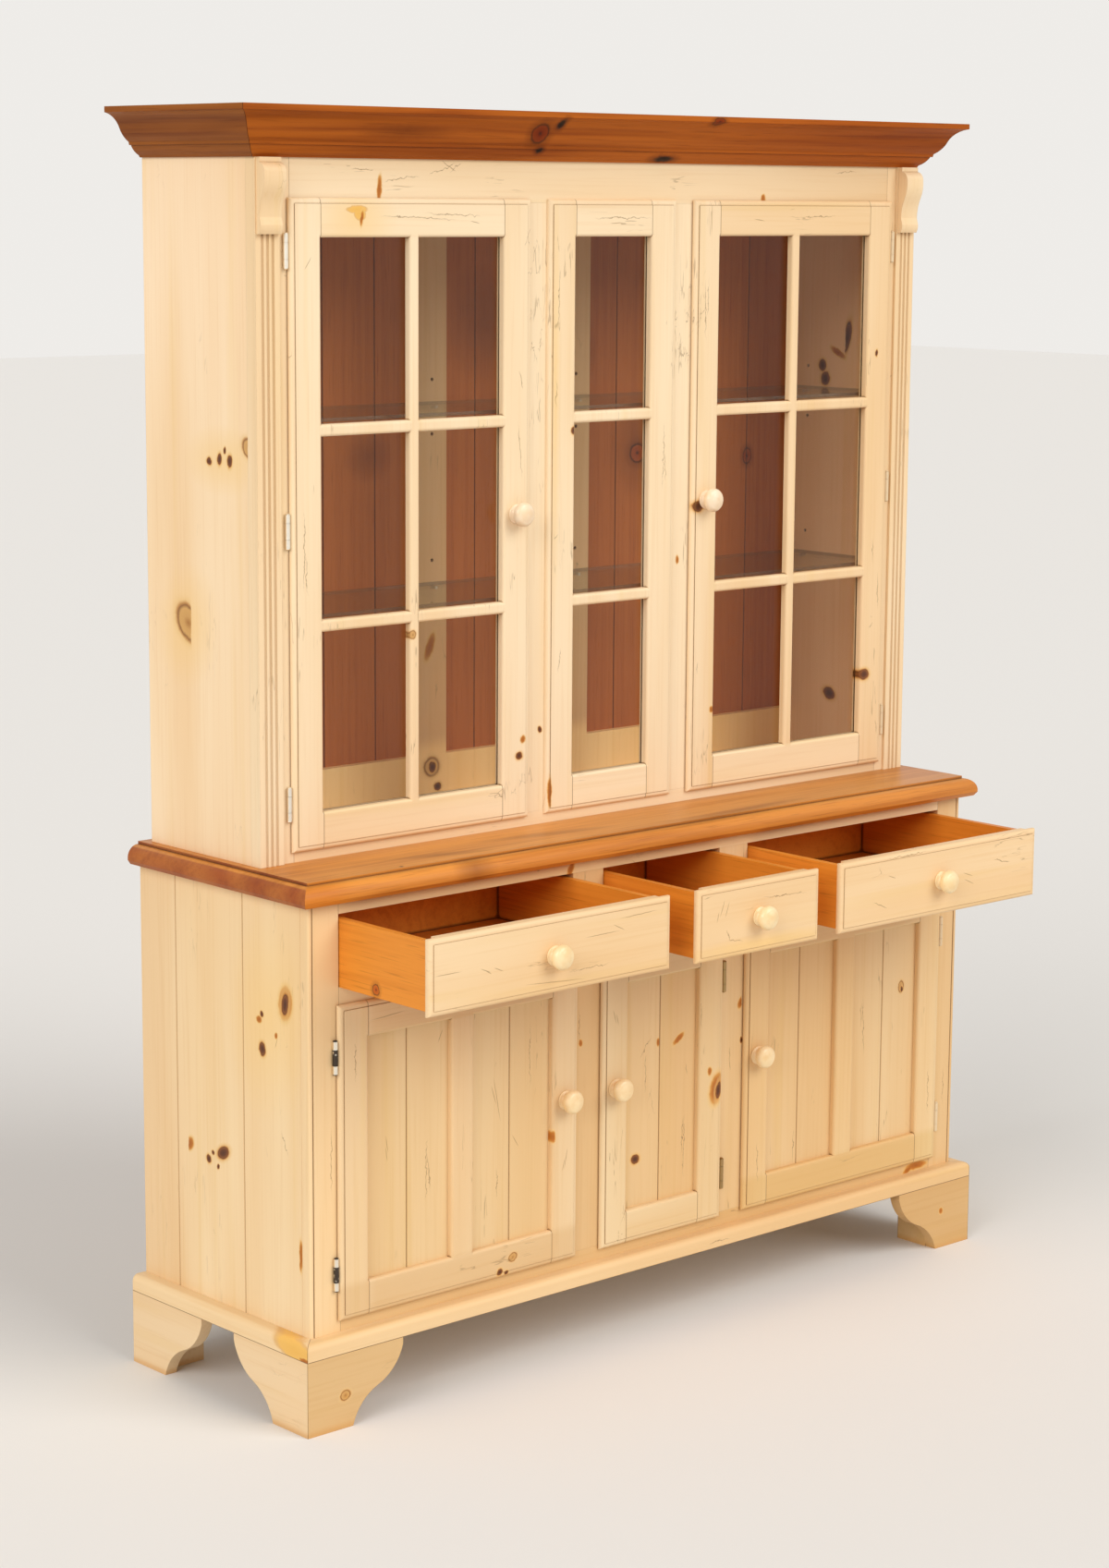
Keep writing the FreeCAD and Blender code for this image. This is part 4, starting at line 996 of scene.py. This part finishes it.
# %% Stain the counter
COUNTER_LIGHT = (0.680, 0.285, 0.058, 1.0)
COUNTER_DARK = (0.430, 0.138, 0.018, 1.0)
COUNTER_END_TINT = (0.54, 0.31, 0.20)
COUNTER_FRONT_TINT = (1.10, 0.98, 0.74)
counter_marks = [
    mark("smear", -0.455, -0.050, 0.120, 0.018, -12), mark("smear", -0.200, -0.030, 0.160, 0.020, -8),
    mark("smear", 0.200, -0.080, 0.200, 0.024, 4), mark("smear", -0.430, -0.112, 0.050, 0.026),
    mark("dark", -0.560, -0.085, 0.006, 0.006),
]
# The first two fades are painted shade toward the right end; the third makes the left end darker and
# yellower.
counter_fades = (
    ("x", -0.30, 0.05, (0.88, 0.86, 0.82)), ("x", 0.55, 0.75, (0.92, 0.90, 0.86)),
    ("x", -0.66, -0.73, (0.92, 0.82, 0.64)),
)
counter = stained_pine("stained counter", "x", COUNTER_LIGHT, COUNTER_DARK, "xy", counter_marks,
                       roughness=0.34, coat=0.12, end_tint=COUNTER_END_TINT, front_tint=COUNTER_FRONT_TINT,
                       fades=counter_fades)
give(counter, "countertop")
print("marks on the counter:", len(counter_marks))

# %% [markdown]
# The boards at the back are narrow and stand upright. Counting them across the back gives every board its
# number, and the fraction that is left over gives the distance from its seam. Separate boards would do the
# same, but here the back is one piece of joinery. Only the hutch's back is stained. What a closed door hides
# is left bare.

# %% Stain the boards behind the shelves
BACK_LIGHT = (0.540, 0.162, 0.035, 1.0)
BACK_DARK = (0.400, 0.108, 0.022, 1.0)
BACK_BOARDS = 13
board_low, board_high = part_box("hutch_back_boards")
board_width = (board_high.x - board_low.x) / BACK_BOARDS
board_marks = [
    mark("smear", -0.044, 1.697, 0.100, 0.110), mark("smear", -0.030, 1.690, 0.060, 0.060),
    mark("smear", 0.193, 1.652, 0.040, 0.090), mark("ring", 0.330, 1.458, 0.036, 0.034),
    mark("smear", 0.330, 1.470, 0.080, 0.110), mark("dark", 0.350, 1.480, 0.012, 0.018),
    mark("ring", 0.610, 1.440, 0.022, 0.030), mark("smear", -0.290, 1.480, 0.060, 0.050),
]
back = stained_pine("stained back boards", "z", BACK_LIGHT, BACK_DARK, "xz", board_marks, (board_width, 0.5),
                    roughness=0.46, coat=0.05, figured=0.10)
give(back, "hutch_back_boards")
print("boards behind the shelves are", round(board_width, 4), "wide")

# %% Finish the drawer boxes and the bare wood
ORANGE_LIGHT = (0.770, 0.268, 0.028, 1.0)
ORANGE_DARK = (0.580, 0.165, 0.011, 1.0)
BARE_LIGHT = (0.720, 0.500, 0.280, 1.0)
BARE_DARK = (0.580, 0.360, 0.170, 1.0)
BASE_BOARDS = 12
box_marks = [mark("ring", -0.182, 0.717, 0.017, 0.017)]
drawer_boxes = stained_pine("orange pine", "y", ORANGE_LIGHT, ORANGE_DARK, "yz", box_marks)
give(drawer_boxes, "left_drawer_box", "middle_drawer_box", "right_drawer_box")
bare = stained_pine("bare pine", "y", BARE_LIGHT, BARE_DARK, roughness=0.6, coat=0.0)
give(bare, "base_floor", "base_shelves", "drawer_runners", "base_partitions", "hutch_top")
base_board_low, base_board_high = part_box("base_back_boards")
base_board_width = (base_board_high.x - base_board_low.x) / BASE_BOARDS
base_back = stained_pine("bare back boards", "z", BARE_LIGHT, BARE_DARK, boards=(base_board_width, 0.0),
                         roughness=0.65, coat=0.0)
give(base_back, "base_back_boards")
print("boards of the lower back are", round(base_board_width, 4), "wide")

# %% [markdown]
# ## Glass
#
# Window glass is almost all see-through, with a faint reflection that grows at a slant. A refracting glass
# shader would stop the lamps' light at the panes and leave the shelves black, so the panes mix a transparent
# and a glossy shader instead. The share of gloss rises with the fifth power of the slant. The Fresnel node
# isn't used here: where a ray leaves a pane, it takes the ray for one inside thick glass and turns the pane
# into a mirror.

# %% Glaze the doors
PANE_TINT = (0.975, 0.98, 0.97, 1.0)
GLOSS_TINT = (0.9, 0.9, 0.9, 1.0)
SLANT_POWER = 5.0
SLANT_GLOSS = 0.6
PANE_GLOSS = 0.016


def clear_glass(at, tint, gloss_ahead):
    """A see-through surface. Seen from straight ahead, it has only a given share of gloss."""
    slant = at.node("ShaderNodeLayerWeight", {}, {"Blend": 0.5}, 1)
    clear = at.node("ShaderNodeBsdfTransparent", {}, {"Color": tint})
    gloss = at.node("ShaderNodeBsdfGlossy", {}, {"Roughness": 0.02, "Color": GLOSS_TINT})
    share = gloss_ahead + slant ** SLANT_POWER * SLANT_GLOSS
    return at.node("ShaderNodeMixShader", {}, {0: share, 1: clear, 2: gloss})


glass, at = new_material("clear glass")
at.node("ShaderNodeOutputMaterial", {}, {"Surface": clear_glass(at, PANE_TINT, PANE_GLOSS)})
panes = [name for name in nodes if name.endswith("_glass")]
give(glass, *panes)
print("panes:", len(panes))

# %% [markdown]
# Seen through its edge, a glass shelf is dark, because the light has come a long way through it. So where a
# shelf's face doesn't look up or down, half of it is a glossy surface painted dark brown: a painted shade,
# tinted by the brown wood that the edge reflects.

# %% Glaze the shelves
SHELF_TINT = (0.93, 0.95, 0.93, 1.0)
SHELF_EDGE_PAINTED_SHADE = (0.200, 0.120, 0.070, 1.0)
SHELF_GLOSS = 0.020
EDGE_SHARE = 0.50
shelf_glass, at = new_material("shelf glass")
painted_shade_edge = at.node("ShaderNodeBsdfPrincipled", {}, {"Base Color": SHELF_EDGE_PAINTED_SHADE, "Roughness": 0.15})
upward = at.also("Normal").axes()[2]
edge_share = (abs(upward) < 0.5) * EDGE_SHARE
shelf_face = clear_glass(at, SHELF_TINT, SHELF_GLOSS)
shelf = at.node("ShaderNodeMixShader", {}, {0: edge_share, 1: shelf_face, 2: painted_shade_edge})
at.node("ShaderNodeOutputMaterial", {}, {"Surface": shelf})
give(shelf_glass, "glass_shelves")

# %% [markdown]
# ## Hinges, pins and catches
#
# The hinges are plated steel, worn a little dull. Metal needs little colour: the roughness, which varies in
# soft smudges, makes it look handled. The hinges aren't alike. On the lower left, patches of the middle
# knuckles are painted dark, and the middle door's hinges are painted bronze: both are painted reflections of
# dark surroundings in the polished metal. Those on the right are painted over. One material with masks over
# the place of each hinge does for all of them.

# %% Plate the metal
BRIGHT_PLATE = (0.88, 0.82, 0.70, 1.0)
PAINTED_BRONZE_REFLECTION = (0.40, 0.26, 0.11, 1.0)
PAINTED_PLATE = (0.72, 0.56, 0.35, 1.0)
DARK_STEEL_AND_PAINTED_REFLECTION = (0.060, 0.045, 0.034, 1.0)
SIDE_HINGES = 0.5
counter_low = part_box("countertop")[0]


def plated_steel(name, plating, worn=False):
    """Plated steel. Worn, it is painted over on the right, with painted dark reflections: bronze in the
    middle and dark patches on the lower left.
    """
    material, at = new_material(name)
    smudge = at.noise(160.0, 3.0)
    roughness = 0.26 + smudge * 0.20
    inputs = {"Base Color": plating, "Metallic": 1.0, "Roughness": roughness}
    if worn:
        x, _, z = at.axes()
        below = z < counter_low.z
        painted = x > SIDE_HINGES
        # Painted dark reflection in patches on the lower left, and a painted bronze reflection in the middle.
        bare = below * (x < -SIDE_HINGES) * smudge.rise(0.30, 0.42)
        color = (below * (x > -SIDE_HINGES)).blend(plating, PAINTED_BRONZE_REFLECTION)
        color = painted.blend(color, PAINTED_PLATE)
        inputs["Base Color"] = bare.blend(color, DARK_STEEL_AND_PAINTED_REFLECTION)
        inputs["Metallic"] = 1.0 - bare * 0.3 - painted
        inputs["Roughness"] = roughness + bare * 0.15 + painted * 0.15
    surface(at, inputs, smudge, bump=0.1, depth=0.0002)
    return material


steel_with_painted_reflections = plated_steel("worn steel", BRIGHT_PLATE, worn=True)
bright_steel = plated_steel("plated steel", BRIGHT_PLATE)
worn = [name + "_hinge_leaves" for name in ("upper_right_door", "lower_middle_door", "lower_right_door")]
worn.append("hinge_frame_leaves")
bright = ["upper_left_door_hinge_leaves", "lower_left_door_hinge_leaves", "shelf_pins", "door_catches"]
give(steel_with_painted_reflections, *worn)
give(bright_steel, *bright)
print("metal pieces:", len(worn) + len(bright))

# %% [markdown]
# ## Pin heads, screws and nails
#
# Every hinge pin ends in a small round head, every knob is held by a screw from inside, and the boards at the
# back are nailed on. A drawing of the joinery leaves these out, so they are modelled here. All of them are
# round, so each starts as half an outline that a spin turns into a closed shape. A copy for every place then
# goes into one mesh, because a hundred separate nails would only make the scene slow.

# %% A turned shape and its copies
CLOSE_POINTS = 1e-6
SHARP_ANGLE = math.radians(40)


def points_in(geometry):
    """The vertices among the parts of a mesh."""
    return [part for part in geometry if isinstance(part, bmesh.types.BMVert)]


def turned(outline, steps):
    """A closed shape, spun from an outline of radii and heights in metres."""
    shape = bmesh.new()
    points = [shape.verts.new((radius, 0.0, height)) for radius, height in outline]
    lines = [shape.edges.new(pair) for pair in zip(points[:-1], points[1:])]
    bmesh.ops.spin(shape, geom=points + lines, cent=(0, 0, 0), axis=(0, 0, 1), angle=math.tau, steps=steps,
                   use_merge=True)
    bmesh.ops.remove_doubles(shape, verts=shape.verts, dist=CLOSE_POINTS)
    bmesh.ops.recalc_face_normals(shape, faces=shape.faces)
    return shape


def placed(name, shape, direction, places, body, material):
    """One piece with a copy of the shape at every place, its axis along a direction, on a body."""
    turn = Vector((0, 0, 1)).rotation_difference(Vector(direction)).to_matrix()
    bmesh.ops.rotate(shape, verts=shape.verts, cent=(0, 0, 0), matrix=turn)
    first = shape.verts[:] + shape.edges[:] + shape.faces[:]
    for place in places[1:]:
        copied = bmesh.ops.duplicate(shape, geom=first)["geom"]
        bmesh.ops.translate(shape, verts=points_in(copied), vec=place)
    bmesh.ops.translate(shape, verts=points_in(first), vec=places[0])
    mesh = bpy.data.meshes.new(name)
    shape.to_mesh(mesh)
    shape.free()
    mesh.shade_smooth()
    mesh.set_sharp_from_angle(angle=SHARP_ANGLE)
    mesh.materials.append(material)
    piece = bpy.data.objects.new(name, mesh)
    scene.collection.objects.link(piece)
    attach(piece, body)
    print(name, "copies:", len(places), "faces:", len(mesh.polygons))


# %% [markdown]
# The hinges of a door stand evenly apart, and all are equally high. So the box of a door's hinge leaves and
# the number of hinges tell where each pin starts and ends, and the joint tells where its axis is.

# %% Heads on the hinge pins
HINGE_HEIGHT = 0.052
UPPER_HINGES = 3
LOWER_HINGES = 2
PIN_STEPS = 16
PIN_HEAD = [(0.0, -0.0006), (0.0014, -0.0006), (0.0014, 0.0002), (0.0034, 0.0002), (0.0036, 0.0008),
            (0.0026, 0.0019), (0.0, 0.0024)]
pin_feet = []
for joint in frame["joints"]:
    if joint["type"] == "hinge":
        leaf_low, leaf_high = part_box(joint["child"] + "_hinge_leaves")
        hinge_count = UPPER_HINGES if joint["child"].startswith("upper") else LOWER_HINGES
        spacing = (leaf_high.z - leaf_low.z - HINGE_HEIGHT) / (hinge_count - 1)
        for index in range(hinge_count):
            pin_feet.append(Vector((joint["pos_m"][0], joint["pos_m"][1], leaf_low.z + index * spacing)))
pin_tops = [foot + Vector((0, 0, HINGE_HEIGHT)) for foot in pin_feet]
placed("hinge_pin_heads", turned(PIN_HEAD, PIN_STEPS), (0, 0, 1), pin_tops, "cabinet", steel_with_painted_reflections)
placed("hinge_pin_tips", turned(PIN_HEAD, PIN_STEPS), (0, 0, -1), pin_feet, "cabinet", steel_with_painted_reflections)

# %% [markdown]
# The knob screws have a straight slot. Two cuts across the head leave a narrow strip of faces between them,
# and pushing that strip down makes the slot.

# %% Screws behind the knobs
SCREW_HEAD = [(0.0, -0.0010), (0.0046, -0.0010), (0.0048, 0.0004), (0.0042, 0.0018), (0.0026, 0.0026),
              (0.0, 0.0028)]
SCREW_STEPS = 20
SLOT_HALF = 0.0006
SLOT_DEPTH = 0.0012


def slotted(outline, steps):
    """A turned head with a slot across it."""
    shape = turned(outline, steps)
    for side in (-SLOT_HALF, SLOT_HALF):
        every = shape.verts[:] + shape.edges[:] + shape.faces[:]
        bmesh.ops.bisect_plane(shape, geom=every, plane_co=(side, 0, 0), plane_no=(1, 0, 0))
    strip = [face for face in shape.faces
             if abs(face.calc_center_median().x) < SLOT_HALF and face.normal.z > 0.5]
    pushed = bmesh.ops.extrude_face_region(shape, geom=strip)["geom"]
    bmesh.ops.delete(shape, geom=strip, context="FACES")
    bmesh.ops.translate(shape, verts=points_in(pushed), vec=(0, 0, -SLOT_DEPTH))
    bmesh.ops.recalc_face_normals(shape, faces=shape.faces)
    return shape


for knob in knobs:
    body = knob.replace("_knob", "")
    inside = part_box(body + ("_frame" if "door" in body else "_front"))[1].y
    knob_low, knob_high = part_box(knob)
    middle = (knob_low + knob_high) / 2
    screw = slotted(SCREW_HEAD, SCREW_STEPS)
    screw_place = Vector((middle.x, inside, middle.z))
    placed(body + "_knob_screw", screw, (0, 1, 0), [screw_place], body, bright_steel)

# %% [markdown]
# Every back board has two nails at each level where there is wood behind it: the floor, the shelf and the top
# of the lower case, and the floor and the top of the hutch.

# %% Nails in the back boards
NAIL_HEAD = [(0.0, -0.0005), (0.0033, -0.0005), (0.0033, 0.0002), (0.0024, 0.0007), (0.0, 0.0009)]
NAIL_STEPS = 8
NAIL_INSET = 0.020
HALF_BOARD = 0.009
TOP_INSET = 0.012
nail_steel = plated_steel("nail steel", DARK_STEEL_AND_PAINTED_REFLECTION)


def nail_places(low, high, count, heights):
    """Two nails near the edges of every board at each height."""
    width = (high.x - low.x) / count
    edges = [low.x + index * width for index in range(count)]
    across = [edge + inset for edge in edges for inset in (NAIL_INSET, width - NAIL_INSET)]
    return [Vector((place, high.y, height)) for height in heights for place in across]


base_rows = [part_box(name)[0].z + HALF_BOARD for name in ("base_floor", "base_shelves")]
base_rows.append(base_board_high.z - TOP_INSET)
hutch_rows = [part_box(name)[0].z + HALF_BOARD for name in ("hutch_floor", "hutch_top")]
base_nails = nail_places(base_board_low, base_board_high, BASE_BOARDS, base_rows)
hutch_nails = nail_places(board_low, board_high, BACK_BOARDS, hutch_rows)
placed("base_back_nails", turned(NAIL_HEAD, NAIL_STEPS), (0, 1, 0), base_nails, "cabinet", nail_steel)
placed("hutch_back_nails", turned(NAIL_HEAD, NAIL_STEPS), (0, 1, 0), hutch_nails, "cabinet", nail_steel)

# %% [markdown]
# ## Floor, light and camera
#
# The floor is plain and pale. The world is pale where the camera, a reflection or a pane sees it, and gives a
# plain fill to everything else. Without that split, a pale background would also light the cabinet too
# strongly.

# %% Floor
FLOOR_SIZE = 60.0
FLOOR_COLOR = (0.82, 0.80, 0.77, 1.0)
bpy.ops.mesh.primitive_plane_add(size=FLOOR_SIZE)
floor = bpy.context.object
floor.name = "floor"
floor_paint, at = new_material("pale floor")
surface(at, {"Base Color": FLOOR_COLOR, "Roughness": 0.8, "Specular IOR Level": 0.1})
floor.data.materials.append(floor_paint)
print("floor in metres:", FLOOR_SIZE)

# %% World
FILL_COLOR = (1.0, 0.97, 0.93, 1.0)
FILL_STRENGTH = 0.45
PALE_COLOR = (0.86, 0.84, 0.81, 1.0)
world = bpy.data.worlds.new("pale room")
scene.world = world
world.use_nodes = True
world.node_tree.nodes.clear()
rays = world.node_tree.nodes.new("ShaderNodeLightPath")
room = Wire(world.node_tree, rays.outputs["Is Camera Ray"])
seen = room.most(room.also("Is Glossy Ray")).most(room.also("Is Transmission Ray"))
fill = room.node("ShaderNodeBackground", {}, {"Color": FILL_COLOR, "Strength": FILL_STRENGTH})
pale = room.node("ShaderNodeBackground", {}, {"Color": PALE_COLOR, "Strength": 1.0})
sky = room.node("ShaderNodeMixShader", {}, {0: seen, 1: fill, 2: pale})
room.node("ShaderNodeOutputWorld", {}, {"Surface": sky})
print("nodes in the world:", len(world.node_tree.nodes))

# %% [markdown]
# Two soft suns light the cabinet evenly from top to bottom: one from the front, high and a little to the
# right, so that the drawers throw a soft shadow on the doors below, and one from the left, which lights the
# side. Area lamps can be as soft, but they light what is near them more than what is far away.


# %% Lamps
def lamp(name, toward, strength, softness):
    """A sun that shines from a direction. Its angle makes the shadows soft."""
    data = bpy.data.lights.new(name, "SUN")
    data.energy = strength
    data.angle = math.radians(softness)
    lamp_object = bpy.data.objects.new(name, data)
    lamp_object.rotation_euler = Vector(toward).to_track_quat("Z", "Y").to_euler()
    scene.collection.objects.link(lamp_object)


lamp("key", toward=(0.25, -0.78, 0.57), strength=1.62, softness=44.0)
lamp("left", toward=(-0.85, -0.25, 0.50), strength=1.60, softness=40.0)
print("lamps:", len(bpy.data.lights))

# %% [markdown]
# The camera stands where the photographer stood. Its place and turn were found from the corners of the
# cabinet, and its long lens from how little the upright edges lean.

# %% The photographer's camera
CAMERA_PLACE = (-3.7975, -4.0338, 1.9065)
YAW = math.radians(42.03)
PITCH = math.radians(-9.966)
ROLL = math.radians(0.38)
FOCAL_PIXELS = 3600.0
PHOTO_HEIGHT = 1697.0
SENSOR = 36.0

right = Vector((math.cos(YAW), -math.sin(YAW), 0.0))
view = Vector((math.sin(YAW) * math.cos(PITCH), math.cos(YAW) * math.cos(PITCH), math.sin(PITCH)))
up = right.cross(view)
right_rolled = math.cos(ROLL) * right + math.sin(ROLL) * up
up_rolled = math.cos(ROLL) * up - math.sin(ROLL) * right
turn = Matrix((right_rolled, up_rolled, -view)).transposed()
camera_data = bpy.data.cameras.new("photographer")
camera_data.sensor_width = SENSOR
camera_data.lens = SENSOR * FOCAL_PIXELS / PHOTO_HEIGHT
camera = bpy.data.objects.new("photographer", camera_data)
camera.matrix_world = Matrix.Translation(CAMERA_PLACE) @ turn.to_4x4()
scene.collection.objects.link(camera)
scene.camera = camera
print("lens in mm:", round(camera_data.lens, 2))
